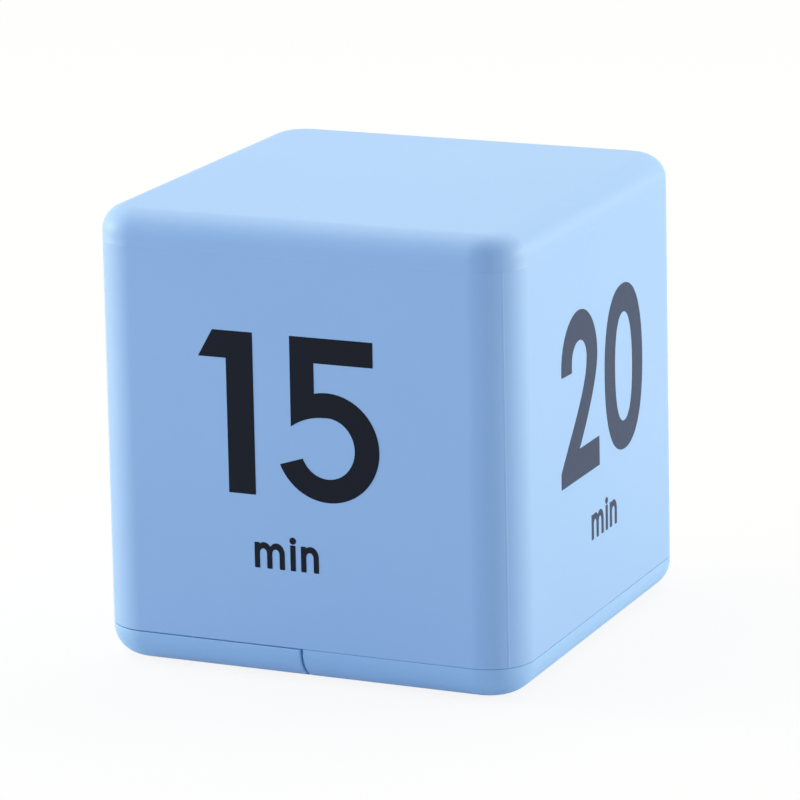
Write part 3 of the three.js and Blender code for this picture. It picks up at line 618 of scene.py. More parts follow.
@dataclass(frozen=True)
class Finish:
    """A surface: its colour drifts slowly between two tones, and a fine grain breaks up its gloss."""

    name: str
    colour: str
    other: str
    rough: float
    metallic: float = 0.0
    ior: float = 1.5
    specular: float = 0.5
    patch: float = 12.0
    grain: float = 0.3
    depth: float = 0.002
    rough_range: float = 0.08
    stretch: tuple[float, float, float] = (1.0, 1.0, 1.0)
    patch_band: Spot = (0.35, 0.65)
    grain_band: Spot = (0.3, 0.7)

    def colours(self, tree: Tree, place: Socket) -> Socket:
        """The colour over the surface: a soft noise as large as the patch mixes the two tones.

        Args:
            tree: the material's tree.
            place: the place on the object.

        Returns:
            The colour output.
        """
        noise = node(tree, "TexNoise", {"Vector": place, "Scale": 1 / (self.patch * MM), "Detail": 3.0})
        low, high = self.patch_band
        share = node(tree, "MapRange", {0: noise.outputs[0], 1: low, 2: high})
        mix = node(tree, "Mix", {0: share.outputs[0], 6: linear(self.colour), 7: linear(self.other)},
                   data_type="RGBA")
        return mix.outputs[2]

    def relief(self, tree: Tree, place: Socket) -> Socket:
        """The height of the grain over the surface: a noise, finer along an axis that is stretched.

        Args:
            tree: the material's tree.
            place: the place on the object.

        Returns:
            The height output.
        """
        scaled = node(tree, "Mapping", {"Vector": place, "Scale": self.stretch}).outputs[0]
        noise = node(tree, "TexNoise", {"Vector": scaled, "Scale": 1 / (self.grain * MM), "Detail": 2.0})
        return noise.outputs[0]

    def extra(self, tree: Tree, place: Socket, shader: bpy.types.Node) -> None:
        """Sets what only this finish has on its shader."""

    def build(self) -> bpy.types.Material:
        """Makes the material.

        Returns:
            The material.
        """
        material = bpy.data.materials.new(self.name)
        material.use_nodes = True
        tree = material.node_tree
        shader = tree.nodes["Principled BSDF"]
        place = node(tree, "TexCoord").outputs["Object"]
        height = self.relief(tree, place)
        bump = node(tree, "Bump", {"Height": height, "Strength": 1.0, "Distance": self.depth * MM})
        (low, high), spread = self.grain_band, self.rough_range / 2
        rough = node(tree, "MapRange", {0: height, 1: low, 2: high, 3: self.rough - spread,
                                        4: self.rough + spread})
        tree.links.new(self.colours(tree, place), shader.inputs["Base Color"])
        tree.links.new(rough.outputs[0], shader.inputs["Roughness"])
        tree.links.new(bump.outputs[0], shader.inputs["Normal"])
        shader.inputs["Metallic"].default_value = self.metallic
        shader.inputs["IOR"].default_value = self.ior
        shader.inputs["Specular IOR Level"].default_value = self.specular
        self.extra(tree, place, shader)
        return material


@dataclass(frozen=True)
class MouldedAbs(Finish):
    """Injection-moulded ABS with a fine satin texture, in which a few darker grains of pigment lie."""

    speck: float = 9.0
    speck_size: float = 0.22
    speck_colour: str = "#8199bd"

    def colours(self, tree: Tree, place: Socket) -> Socket:
        """The plastic's colour with its specks: cells of a Voronoi pattern, dark near the middle of a few.

        Args:
            tree: the material's tree.
            place: the place on the object.

        Returns:
            The colour output.
        """
        plain = super().colours(tree, place)
        cells = node(tree, "TexVoronoi", {"Vector": place, "Scale": 1 / (self.speck * MM)})
        near = node(tree, "MapRange", {0: cells.outputs["Distance"], 1: self.speck_size / self.speck, 2: 0.0},
                    interpolation_type="SMOOTHSTEP")
        mix = node(tree, "Mix", {0: near.outputs[0], 6: plain, 7: linear(self.speck_colour)},
                   data_type="RGBA")
        return mix.outputs[2]


@dataclass(frozen=True)
class MattInk(Finish):
    """Printed ink that looks dull from in front and greyish when seen from the side."""

    haze: float = 0.9
    haze_rough: float = 0.45
    haze_colour: str = "#a9bff0"

    def extra(self, tree: Tree, place: Socket, shader: bpy.types.Node) -> None:
        """Adds the haze, as a sheen.

        Args:
            tree: the material's tree, not used.
            place: the place on the object, not used.
            shader: the shader.
        """
        shader.inputs["Sheen Weight"].default_value = self.haze
        shader.inputs["Sheen Roughness"].default_value = self.haze_rough
        shader.inputs["Sheen Tint"].default_value = linear(self.haze_colour)


@dataclass(frozen=True)
class CellJacket(Finish):
    """The printed film round a cell: dark along most of it, and bright towards its positive end."""

    end_colour: str = "#c9893c"
    line: float = 11.0
    soft: float = 0.15
    sense: int = 1

    def colours(self, tree: Tree, place: Socket) -> Socket:
        """The jacket's colour: it changes at a line across the cell.

        Args:
            tree: the material's tree.
            place: the place on the object.

        Returns:
            The colour output.
        """
        plain = super().colours(tree, place)
        along = node(tree, "SeparateXYZ", {0: place})
        line = self.sense * self.line
        share = node(tree, "MapRange", {0: along.outputs[1], 1: (line - self.sense * self.soft) * MM,
                                        2: (line + self.sense * self.soft) * MM})
        mix = node(tree, "Mix", {0: share.outputs[0], 6: plain, 7: linear(self.end_colour)}, data_type="RGBA")
        return mix.outputs[2]


@dataclass(frozen=True)
class Striped(Finish):
    """Layers of two tones across one axis, such as the carbon and silicone layers of a rubber connector."""

    pitch: float = 0.5
    axis: str = "Y"

    def colours(self, tree: Tree, place: Socket) -> Socket:
        """The two tones in turn. The real layers are 0.1 mm apart, too fine to show, and drawn coarser.

        Args:
            tree: the material's tree.
            place: the place on the object.

        Returns:
            The colour output.
        """
        # At a scale of 1 the bands of the wave are pi / 10 apart.
        scale = math.pi / 10 / (self.pitch * MM)
        wave = node(tree, "TexWave", {"Vector": place, "Scale": scale}, bands_direction=self.axis)
        mix = node(tree, "Mix", {0: wave.outputs["Fac"], 6: linear(self.colour), 7: linear(self.other)},
                   data_type="RGBA")
        return mix.outputs[2]


@dataclass(frozen=True)
class Clear(Finish):
    """A see-through plastic, as clear as its share of light let through."""

    clear: float = 1.0

    def extra(self, tree: Tree, place: Socket, shader: bpy.types.Node) -> None:
        """Lets light through."""
        shader.inputs["Transmission Weight"].default_value = self.clear


@dataclass(frozen=True)
class Glazed(Finish):
    """A pattern under a smooth clear layer, such as the display under its polariser."""

    coat: float = 1.0
    coat_rough: float = 0.05

    def extra(self, tree: Tree, place: Socket, shader: bpy.types.Node) -> None:
        """Adds the clear layer."""
        shader.inputs["Coat Weight"].default_value = self.coat
        shader.inputs["Coat Roughness"].default_value = self.coat_rough


FINISHES: dict[str, Finish] = {
    # ABS from a textured mould: satin, with soft highlights and a few stray grains of pigment.
    "blue_plastic": MouldedAbs("moulded_abs_pale_blue", "#a3c9f4", "#a1c7f3", 0.56, ior=1.53, patch=30,
                               grain=0.5, depth=0.0015),
    # The housing's ABS made a trace lighter: painted light that brightens the lower band of the door and the
    # base.
    "base_plastic": MouldedAbs("moulded_abs_pale_blue_painted_lighter", "#a4cef7", "#a2ccf6", 0.56, ior=1.53, patch=30,
                               grain=0.5, depth=0.0015),
    # Pad-printed ink: thin and matt, near black, and hazy grey along the face.
    "number_ink": MattInk("pad_printed_ink", "#05070f", "#070912", 0.45, specular=0.1, grain=0.4),
    # Printed film shrunk on steel: smooth, with a metallic glint under its dark ink and copper.
    "cell_jacket": CellJacket("printed_cell_jacket", "#23262b", "#2a2d33", 0.28, metallic=0.3),
    # The same film turned round, with its copper end in front.
    "cell_jacket_turned": CellJacket("printed_cell_jacket_turned", "#23262b", "#2a2d33", 0.28, metallic=0.3,
                                     sense=-1),
    # Nickel plating: warm white, bright but a little clouded.
    "contact_nickel": Finish("nickel_plated_sheet", "#c9c4b8", "#bfbab0", 0.28, metallic=1.0, grain=0.1,
                             stretch=(1, 8, 1)),
    # Drawn and plated wire: cool, with one thin highlight along each turn.
    "spring_steel": Finish("nickel_plated_wire", "#c4c4c2", "#b4b4b4", 0.25, metallic=1.0),
    # Zinc plating: bluish and finely grained, so its highlights spread.
    "screw_steel": Finish("zinc_plated_steel", "#bfc3c8", "#aeb2b8", 0.3, metallic=1.0, grain=0.15),
    # Polished acrylic: clear, with sharp reflections over the display.
    "window_plastic": Clear("clear_acrylic", "#eef4f5", "#eef4f5", 0.05, ior=1.49, rough_range=0.02,
                            depth=0.0003),
    # Frosted acrylic: light comes through blurred, as a milky white.
    "lamp_plug_plastic": Clear("frosted_acrylic", "#eef1f2", "#e9edef", 0.3, ior=1.49, clear=0.45, grain=1.0,
                               rough_range=0.02, depth=0.0003),
    # Resin with a diffuser in it: deep red, cloudy under a glossy dome.
    "lamp_resin": Clear("diffused_red_resin", "#c8302b", "#b82620", 0.2, ior=1.54, clear=0.35),
    # Glass and polariser: grey green under a clear gloss.
    "display_glass": Glazed("liquid_crystal_glass", "#98a792", "#94a38e", 0.35, ior=1.52),
    # Segments that are off: a shade darker than the glass.
    "display_segments": Finish("liquid_crystal_segments", "#59645a", "#566157", 0.4),
    # Polystyrene: an opaque warm white with a soft sheen.
    "holder_plastic": Finish("moulded_polystyrene_white", "#e6e4dc", "#dfddd5", 0.45),
    # Silicone in layers: dull, with fine pale and dark stripes.
    "connector_rubber": Striped("silicone_connector", "#d8cfc8", "#2c2c2e", 0.7),
    # Rolled brass: yellow, with the rollers' fine streaks.
    "disc_brass": Finish("rolled_brass", "#c9a557", "#b8954a", 0.3, metallic=1.0, grain=0.15,
                         stretch=(1, 12, 1)),
    # Silver paste on ceramic: pale, and only half metallic.
    "ceramic": Finish("silvered_ceramic", "#d9d8d3", "#cfcec8", 0.35, metallic=0.6),
    # Paper soaked in resin: brown, flat and dull.
    "switch_wafer": Finish("phenolic_paper_board", "#a9855a", "#9c7a50", 0.5),
    # Tinned strip: silvery, with streaks along the strip.
    "switch_shell": Finish("tinned_steel", "#c3c6c9", "#b3b6ba", 0.28, metallic=1.0, stretch=(1, 6, 1)),
    # Acetal: a waxy off-white without hard highlights.
    "switch_plastic": Finish("moulded_acetal_white", "#e4e3dd", "#dddcd6", 0.4),
    # Deep-drawn steel: bright, with the die's streaks along the can.
    "tilt_can_steel": Finish("drawn_steel_can", "#c2c4c6", "#b0b2b5", 0.25, metallic=1.0, stretch=(1, 1, 6)),
    # Nylon: black and dull, even at its edges.
    "tilt_plug_plastic": Finish("moulded_nylon_black", "#232427", "#2a2b2e", 0.5),
    # Ground and polished steel: it mirrors what is round it.
    "tilt_ball_steel": Finish("polished_steel_ball", "#c8cacc", "#bfc1c4", 0.12, metallic=1.0),
    # Green lacquer on glass fibre: dark, even and fairly glossy.
    "circuit_board": Finish("solder_mask_on_epoxy", "#1d5d3a", "#1a5535", 0.35, ior=1.55),
    # Resin set from a drop: black, with one broad soft highlight.
    "black_resin": Finish("potting_resin", "#17181a", "#1d1e20", 0.3, ior=1.55),
    # A shrunk sleeve: smooth dark blue that follows the can's creases.
    "capacitor_sleeve": Finish("shrink_sleeve", "#22304f", "#26365a", 0.3),
    # Plated and drawn: a warm bright metal with soft edges.
    "crystal_can": Finish("nickel_plated_can", "#c9c6bd", "#bab7af", 0.25, metallic=1.0),
    # Soft PVC: black, with a dull gloss along the wire.
    "black_wire": Finish("pvc_insulation_black", "#1b1b1e", "#232326", 0.4),
    # The same PVC in a full red.
    "red_wire": Finish("pvc_insulation_red", "#a8191e", "#b32227", 0.4),
}


@dataclass
class Workshop:
    """Makes meshes into finished pieces of the object."""

    materials: dict[str, bpy.types.Material] = field(
        default_factory=lambda: {name: finish.build() for name, finish in FINISHES.items()})

    def fit(self, mesh: Mesh, slot: str, *replaced: str, body: str = "case", finish: str = "",
            angle: float = SMOOTH_ANGLE) -> bpy.types.Object:
        """Makes a mesh a piece of the object.

        Edges that turn by more than the angle stay crisp, and each point's normal leans to its largest faces,
        so flat faces stay flat beside their rounded edges.

        Args:
            mesh: the finished mesh, in place.
            slot: the record's material slot.
            replaced: the nodes that it stands for.
            body: the body that it moves with.
            finish: the finish, where it isn't the slot's own.
            angle: the turn from which an edge is crisp.

        Returns:
            The new object.
        """
        piece = bpy.data.objects.new(mesh.name, mesh)
        bpy.context.collection.objects.link(piece)
        mesh.shade_smooth()
        mesh.set_sharp_from_angle(angle=angle)
        normals = piece.modifiers.new("normals", "WEIGHTED_NORMAL")
        normals.keep_sharp = True
        mesh.materials.clear()
        mesh.materials.append(self.materials[finish or slot])
        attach(piece, body)
        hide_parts(*replaced)
        log.info("%s: %d faces", piece.name, len(mesh.polygons))
        return piece

    def keep(self) -> None:
        """Gives each CAD node the finish of its slot."""
        for entry in frame["record"]["subparts"]:
            mesh = frame["nodes"][entry["node"]].data
            mesh.materials.clear()
            mesh.materials.append(self.materials[entry["material_slot"]])


@dataclass
class Housing:
    """The five-sided moulding: a skin with draft, rounded edges and mould lines, and posts for the screws."""

    side_edge: float = 6.27
    top_edge: float = 3.35
    draft: float = 0.318
    wall: float = 2.0
    roof: float = 2.0
    roof_edge: float = 1.0
    rim: float = 0.09
    cap_shares: Spot = (0.6, 0.7)
    line_level: float = 56.48
    line_rise: float = 0.03
    line_half: float = 0.08
    post: float = 2.5
    post_edge: float = 0.2
    bore: float = 1.15
    bore_edge: float = 0.3
    bore_depth: float = 10.0
    rib: float = 0.5
    slide: float = 0.3
    lip_rise: float = 3.0
    steps: int = 32
    edge_steps: int = 12
    box: Box = field(default_factory=lambda: Box.of("housing"))

    @property
    def lip_top(self) -> float:
        """The height of the base's lip, which reaches up into the housing."""
        return self.box.low[2] + self.lip_rise

    @property
    def lip(self) -> tuple[float, float, float]:
        """The half sizes and the corner of the base's lip, which fits into the housing with room to slide."""
        back = self.wall + self.slide
        return self.box.half[0] - back, self.box.half[1] - back, self.side_edge - back

    def inset(self, level: float) -> float:
        """How far the side stands back at a height, for the mould's draft."""
        return -self.draft * level / self.box.high[2]

    def skin(self) -> Mesh:
        """The shell: one profile, from the inner roof down the inner wall, round the rim and up the outside.

        The mould line round the cube is a low ridge in the profile. Those up the four edges are a ridge in
        the middle column of each quarter, only in the outer rows below that line.

        Returns:
            The closed mesh.
        """
        bottom, top = self.box.low[2], self.box.high[2]
        inner_edge = self.side_edge - self.wall
        under = top - self.roof
        inner_cap, outer_cap = self.cap_shares
        line = [(self.inset(self.line_level) + rise, self.line_level + step * self.line_half, 0)
                for step, rise in ((-1, 0), (0, self.line_rise), (1, 0))]
        profile = rounded([
            (-self.wall - inner_edge * inner_cap, under, 0), (-self.wall, under, self.roof_edge),
            (-self.wall, bottom, 0), (self.inset(bottom), bottom, self.rim), *line,
            (self.inset(top), top, self.top_edge), (self.inset(top) - self.side_edge * outer_cap, top, 0),
        ], self.edge_steps)
        even = np.linspace(0, 1, self.steps + 1)
        half = self.line_half / (self.side_edge * math.pi / 2)
        shares = np.union1d(even, [0.5 - half, 0.5 + half])
        plan = Outline(0, 0, self.box.half[0], self.box.half[1], self.side_edge)
        grid = plan.grid(profile, shares)
        outer = (profile[:, 0] > -self.wall / 2) & (profile[:, 1] < self.line_level)
        column = np.tile(np.isclose(shares, 0.5), 4)
        lift = self.line_rise * outer[:, None] * column[None, :]
        turn = ((np.arange(4)[:, None] + shares) * math.pi / 2).ravel()
        grid[..., 0] += lift * np.cos(turn)
        grid[..., 1] += lift * np.sin(turn)
        return closed_grid(grid, "housing_skin")

    def posts(self) -> tuple[list[Mesh], list[Mesh]]:
        """The posts for the case screws, with their ribs to the walls, and the screws' bores.

        Returns:
            The shapes to join and the shapes to cut.
        """
        joins, bores = [], []
        top = self.box.high[2] - self.roof + self.wall / 4
        wall_x, wall_y = self.box.half[:2] - self.wall / 2
        cell_roof = Box.of("base_cover").high[2]
        for index, foot in ((1, cell_roof), (2, cell_roof), (3, self.lip_top), (4, self.lip_top)):
            bottom = foot + self.slide
            x, y = Box.of(f"case_screw_{index}").middle[:2]
            joins.append(disc(x, y, self.post).prism(bottom, top, self.post_edge))
            bores.append(disc(x, y, self.bore).mouth(self.bore_depth, self.bore_edge))
            bores[-1].transform(Matrix.Translation((0, 0, bottom * MM)))
            if index > 2:
                across, along = (x - self.rib, x + self.rib), (y - self.rib, y + self.rib)
                joins.append(block((x, wall_x), along, (bottom, top)))
                joins.append(block(across, ordered(y, math.copysign(wall_y, y)), (bottom, top)))
        return joins, bores

    def dress(self, shop: Workshop) -> None:
        """Places the finished housing.

        Args:
            shop: the workshop.
        """
        joins, bores = self.posts()
        shell = combined("housing_shell", self.skin(), joins, bores)
        shop.fit(shell, "blue_plastic", "housing")


@dataclass(frozen=True)
class Print:
    """One side's print: its number, where that starts and stands, the gap in it, and its word's place."""

    number: str
    left: float
    base: float
    gap: float
    word_middle: float
    word_base: float


@dataclass
class Numbers:
    """The printed numbers: a numeral and the word min on each side, on the outside of the housing.

    The digits' outlines are drawn one unit high, the word's in millimetres.
    """

    housing: Housing
    prints: dict[Axis, Print] = field(default_factory=lambda: {
        Axis.FRONT: Print("15", -14.03, 24.85, 3.46, -2.1, 15.05),
        Axis.RIGHT: Print("20", -14.1, 24.5, 2.29, 0.75, 14.9),
        Axis.BACK: Print("30", -15.0, 24.7, 2.4, 0.0, 15.0),
        Axis.LEFT: Print("60", -15.3, 24.7, 2.4, 0.0, 15.0),
    })
    height: float = 21.6
    ink: float = 0.03
    stroke: float = 0.75
    x_height: float = 3.45
    crown: float = 0.79
    over: float = 0.05
    inner_rise: float = 0.65
    outer_rise: float = 1.45
    lean: float = 0.12
    blunt: float = 0.1
    m_legs: tuple[float, ...] = (-4.54, -2.77, -0.98)
    n_legs: tuple[float, ...] = (2.09, 3.88)
    i_place: float = 0.58
    dot: float = 0.47
    dot_level: float = 4.05

    def one(self) -> list[Array]:
        """A stem with a flag."""
        return [np.array([(0, 0.831), (0.183, 0.831), (0.183, 0), (0.361, 0), (0.361, 1), (0.097, 1)])]

    def zero(self) -> list[Array]:
        """Two ovals, each of four curves whose middle points stand at a share of its half sizes.

        Returns:
            The outer outline and the hole.
        """
        rings, pull = [], 0.635
        for half_x, half_y in ((0.321, 0.525), (0.147, 0.345)):
            quarter = bezier((half_x, 0), (half_x, half_y * pull), (half_x * pull, half_y), (0, half_y),
                             steps=20)[:-1]
            turned = quarter[::-1] * (-1, 1)
            upper = np.vstack([quarter, [(0, half_y)], turned[:-1], [(-half_x, 0)]])
            ring = np.vstack([upper[:-1], -upper[:-1]])
            rings.append(ring + (0.321, 0.52))
        return rings

    def two(self) -> list[Array]:
        """An arched top that runs down in a slant to a bar.

        Returns:
            One outline.
        """
        return [np.vstack([
            arc(0.316, 0.719, (0.294, 0.324), 186, 0),
            bezier((0.61, 0.719), (0.61, 0.6), (0.5, 0.41), (0.299, 0.184))[1:],
            [(0.625, 0.184), (0.625, 0), (0, 0)],
            bezier((0, 0.098), (0.262, 0.4), (0.436, 0.56), (0.436, 0.735)),
            arc(0.314, 0.735, (0.122, 0.121), 0, 180)[1:], [(0.191, 0.68)],
        ])]

    def three(self) -> list[Array]:
        """Two bowls with a short arm between them.

        Returns:
            One outline.
        """
        return [np.vstack([
            arc(0.3, 0.735, (0.275, 0.278), 165, -36), arc(0.318, 0.318, (0.318, 0.332), 50, -162),
            arc(0.318, 0.318, (0.16, 0.175), -162, 90), [(0.2, 0.493), (0.2, 0.615)],
            arc(0.3, 0.735, (0.12, 0.122), -90, 165),
        ])]

    def five(self) -> list[Array]:
        """A bar, a stem and a bowl.

        Returns:
            One outline.
        """
        return [np.vstack([
            [(0.083, 1), (0.623, 1), (0.623, 0.845), (0.238, 0.845)],
            arc(0.318, 0.331, (0.338, 0.338), 103.7, -158.2, 48),
            arc(0.318, 0.327, (0.178, 0.189), -157, 95, 40),
            bezier((0.303, 0.515), (0.18, 0.515), (0.081, 0.444))[1:],
        ])]

    def six(self) -> list[Array]:
        """A round bowl with a slanted arm.

        Returns:
            The outer outline and the hole.
        """
        x, y = 0.325, 0.325
        return [np.vstack([[(0.36, 1), (0.555, 1)], arc(x, y, (0.338, 0.338), 84, -209, 60)]),
                arc(x, y, (0.175, 0.175), 0, 354, 59)]

    def end(self, left: float, level: float, side: int, short: float) -> Array:
        """An end of a leg with blunted corners, from left to right at a foot and back again at a top.

        Args:
            left: the left edge of the leg.
            level: the height of the end.
            side: 1 for a foot, -1 for a top.
            short: how far the line's first point lies from the end.

        Returns:
            Four corners, two of them rounded.
        """
        near, far = (left, left + self.stroke)[::side]
        return rounded([(near, level + side * short, 0), (near, level, self.blunt), (far, level, self.blunt),
                        (far, level + side * self.stroke, 0)], 4)

    def arches(self, legs: Sequence[float]) -> Array:
        """The outline of an m or an n: upright legs under arches.

        Each arch is a half oval over the gap between two legs inside. Outside it is an oval whose middle is a
        little further to the right. Two outer ovals meet halfway between their middles.

        Args:
            legs: the left edge of each leg.

        Returns:
            The outline, from the foot of the first leg.
        """
        s, top = self.stroke, self.x_height
        middles = [(a + s + b) / 2 for a, b in zip(legs, legs[1:])]
        inner = [(b - a - s) / 2 for a, b in zip(legs, legs[1:])]
        lines = [self.end(legs[0], 0, 1, s)]
        for leg, middle, half in zip(legs[1:], middles, inner):
            lines.append(arc(middle, top - self.crown - self.inner_rise, (half, self.inner_rise), 180, 0, 12))
            lines.append(self.end(leg, 0, 1, s))
        between = [(a + b) / 2 + self.lean for a, b in zip(middles, middles[1:])]
        meets = [legs[0] + s, *between, legs[-1] + s]
        for index in range(len(middles) - 1, -1, -1):
            middle, reach = middles[index] + self.lean, inner[index] + s - self.lean
            last, first = (math.degrees(math.acos(min((meet - middle) / reach, 1.0)))
                           for meet in meets[index:index + 2])
            oval = reach, self.outer_rise
            lines.append(arc(middle, top + self.over - self.outer_rise, oval, first, last, 16))
        lines.append(self.end(legs[0], top, -1, top - lines[-1][-1, 1]))
        return np.vstack(lines)

    def word(self) -> list[list[Array]]:
        """The word min.

        Returns:
            The outlines of its m, its i with a round dot, and its n.
        """
        s, left = self.stroke, self.i_place
        stem = np.vstack([self.end(left, 0, 1, s), self.end(left, self.x_height, -1, s)])
        dot = arc(left + s / 2, self.dot_level, (self.dot, self.dot), 0, 360, 24)[:-1]
        return [[self.arches(self.m_legs)], [stem], [dot], [self.arches(self.n_legs)]]

    def dress(self, shop: Workshop) -> None:
        """Prints each side.

        Args:
            shop: the workshop.
        """
        digits = {"0": self.zero(), "1": self.one(), "2": self.two(), "3": self.three(), "5": self.five(),
                  "6": self.six()}
        wides = {"0": 0.642, "1": 0.361, "2": 0.623, "3": 0.636, "5": 0.656, "6": 0.663}
        for axis, side in self.prints.items():
            half = self.housing.box.half[1 if axis in (Axis.FRONT, Axis.BACK) else 0]
            left, plates = side.left, []
            for digit in side.number:
                lines = [line * self.height + (left, side.base) for line in digits[digit]]
                plates.append(plate(lines, axis, 0, self.ink, digit))
                left += wides[digit] * self.height + side.gap
            for letter in self.word():
                lines = [line + (side.word_middle, side.word_base) for line in letter]
                plates.append(plate(lines, axis, 0, self.ink, "min"))
            mesh = welded(f"print_{side.number}_min", plates)
            self.lay_on(mesh, axis, half)
            shop.fit(mesh, "number_ink", *(f"digit_{digit}_of_{side.number}" for digit in side.number))

    def lay_on(self, mesh: Mesh, axis: Axis, half: float) -> None:
        """Lays a print on its side, which leans in by the draft: its distance falls evenly with the height.

        Args:
            mesh: the print, flat at distance 0.
            axis: the direction that the side looks in.
            half: the distance of the side from the middle at height 0.
        """
        points = np.empty(len(mesh.vertices) * 3)
        mesh.vertices.foreach_get("co", points)
        points = points.reshape(-1, 3)
        out = np.array(axis.value[2], float)
        lean = (half + self.housing.inset(1.0) * points[:, 2] / MM) * MM
        points += lean[:, None] * out
        mesh.vertices.foreach_set("co", points.ravel())
        mesh.update()


@dataclass
class Band:
    """The lower band: what the fixed base and the battery door share."""

    housing: Housing
    edge: float = 4.04
    cap_in: float = 5.6
    shoulder: float = 0.2
    path_lean: float = 0.04
    path_top: float = 8.0
    steps: int = 32
    edge_steps: int = 14
    path_steps: int = 24

    def slab(self, top: float, rim: float) -> Mesh:
        """The whole band as one block, whose profile runs from the underside round the edge to the rim.

        Args:
            top: the height of its rim.
            rim: the radius of its rim.

        Returns:
            The closed mesh.
        """
        half = self.housing.box.half
        plan = Outline(0, 0, half[0], half[1], self.housing.side_edge, self.steps)
        return plan.solid([(-self.cap_in, 0, 0), (0, 0, self.edge), (self.housing.inset(top), top, rim),
                           (-self.cap_in, top, 0)], "band", self.edge_steps)

    def shoulders(self, edge: float, side: int) -> Mesh:
        """A cutter that rounds the band's edge along its split.

        The section is the corner that a quarter circle leaves, and its path is the band's own outline across
        the cube: down the front, round the lower edge, along the underside and up the back.

        Args:
            edge: the place of the split face along X.
            side: -1 for the door's edge, 1 for the fixed half's.

        Returns:
            The closed mesh.
        """
        half, lean = self.housing.box.half[1], self.path_lean
        path = rounded([(-half + lean, self.path_top, 0), (-half, 0, self.edge), (half, 0, self.edge),
                        (half - lean, self.path_top, 0)], self.path_steps)
        along = np.gradient(path, axis=0)
        along /= np.linalg.norm(along, axis=1, keepdims=True)
        points = np.column_stack([np.full(len(path), edge), path])
        inwards = np.column_stack([np.zeros(len(path)), -along[:, 1], along[:, 0]])
        away = np.tile([float(side), 0, 0], (len(path), 1))
        r = self.shoulder
        hollow = r - arc(0, 0, (r, r), 0, 90, 6)[-2:0:-1]
        section = np.vstack([[(-OVERRUN, -OVERRUN), (-OVERRUN, r), (0, r)], hollow, [(r, 0), (r, -OVERRUN)]])
        return swept(points, section, away, inwards, "shoulder")


@dataclass
class BatteryDoor:
    """The sliding left half of the base: a tray with rails, a tongue and grip grooves."""

    band: Band
    floor: float = 2.0
    wall: float = 1.8
    edge: float = -0.45
    rim: float = 0.15
    seam_gap: float = 0.12
    heel: float = 0.5
    rail_reach: float = 1.0
    rail: tuple[float, float, float] = (2.5, 20.0, 0.7)
    rail_edges: Spot = (0.2, 0.12)
    rail_top: float = 4.1
    tongue: tuple[float, float, float] = (4.0, 1.0, 0.8)
    tongue_edges: Spot = (0.4, 0.2)
    grips: int = 4
    grip_first: float = 5.0
    grip_pitch: float = 2.0
    grip_half: Spot = (0.5, 7.0)
    grip_edges: Spot = (0.15, 0.2)
    grip_deep: float = 0.4
    box: Box = field(default_factory=lambda: Box.of("battery_door"))

    def additions(self) -> list[Mesh]:
        """The rails along both sides and the tongue at the split.

        Returns:
            The shapes to join.
        """
        housing, edge, top = self.band.housing, self.edge, self.rail_top
        inset, length, thick = self.rail
        inner, outer = housing.lip[1] - self.rail_reach, housing.box.half[1] - self.wall / 2
        along = (edge - inset - length, edge - inset)
        rails = [block(along, ordered(side * inner, side * outer), (top - thick, top), *self.rail_edges)
                 for side in (-1, 1)]
        half, low, rise = self.tongue
        tongue = block((edge - OVERRUN, self.box.high[0]), (-half, half), (low, low + rise),
                       *self.tongue_edges)
        return [*rails, tongue]

    def grooves(self) -> list[Mesh]:
        """The grip: round-ended grooves across the direction in which the door slides.

        Returns:
            The shapes to cut.
        """
        first = self.edge - self.grip_first
        plans = [Outline(first - i * self.grip_pitch, 0, *self.grip_half, self.grip_half[0], 8)
                 for i in range(self.grips)]
        return [plan.mouth(self.grip_deep, *self.grip_edges) for plan in plans]

    def dress(self, shop: Workshop) -> None:
        """Builds and places the door.

        Args:
            shop: the workshop.
        """
        housing, floor = self.band.housing, self.floor
        half, corner = housing.box.half - self.wall, housing.side_edge - self.wall
        hollow = Outline(0, 0, half[0], half[1], corner, self.band.steps).solid([
            (-self.heel * 2, floor, 0), (0, floor, self.heel), (0, BEYOND, 0)])
        slab = self.band.slab(housing.box.low[2] - self.seam_gap, self.rim)
        tray = combined("door_tray", slab, cuts=[
            hollow, all_past(self.edge, 1), self.band.shoulders(self.edge, -1)])
        door = combined("battery_door_shell", tray, self.additions(), self.grooves())
        # Its finish is the housing's ABS painted a trace lighter: painted light on the lower band.
        shop.fit(door, "blue_plastic", "battery_door", body="battery_door", finish="base_plastic")


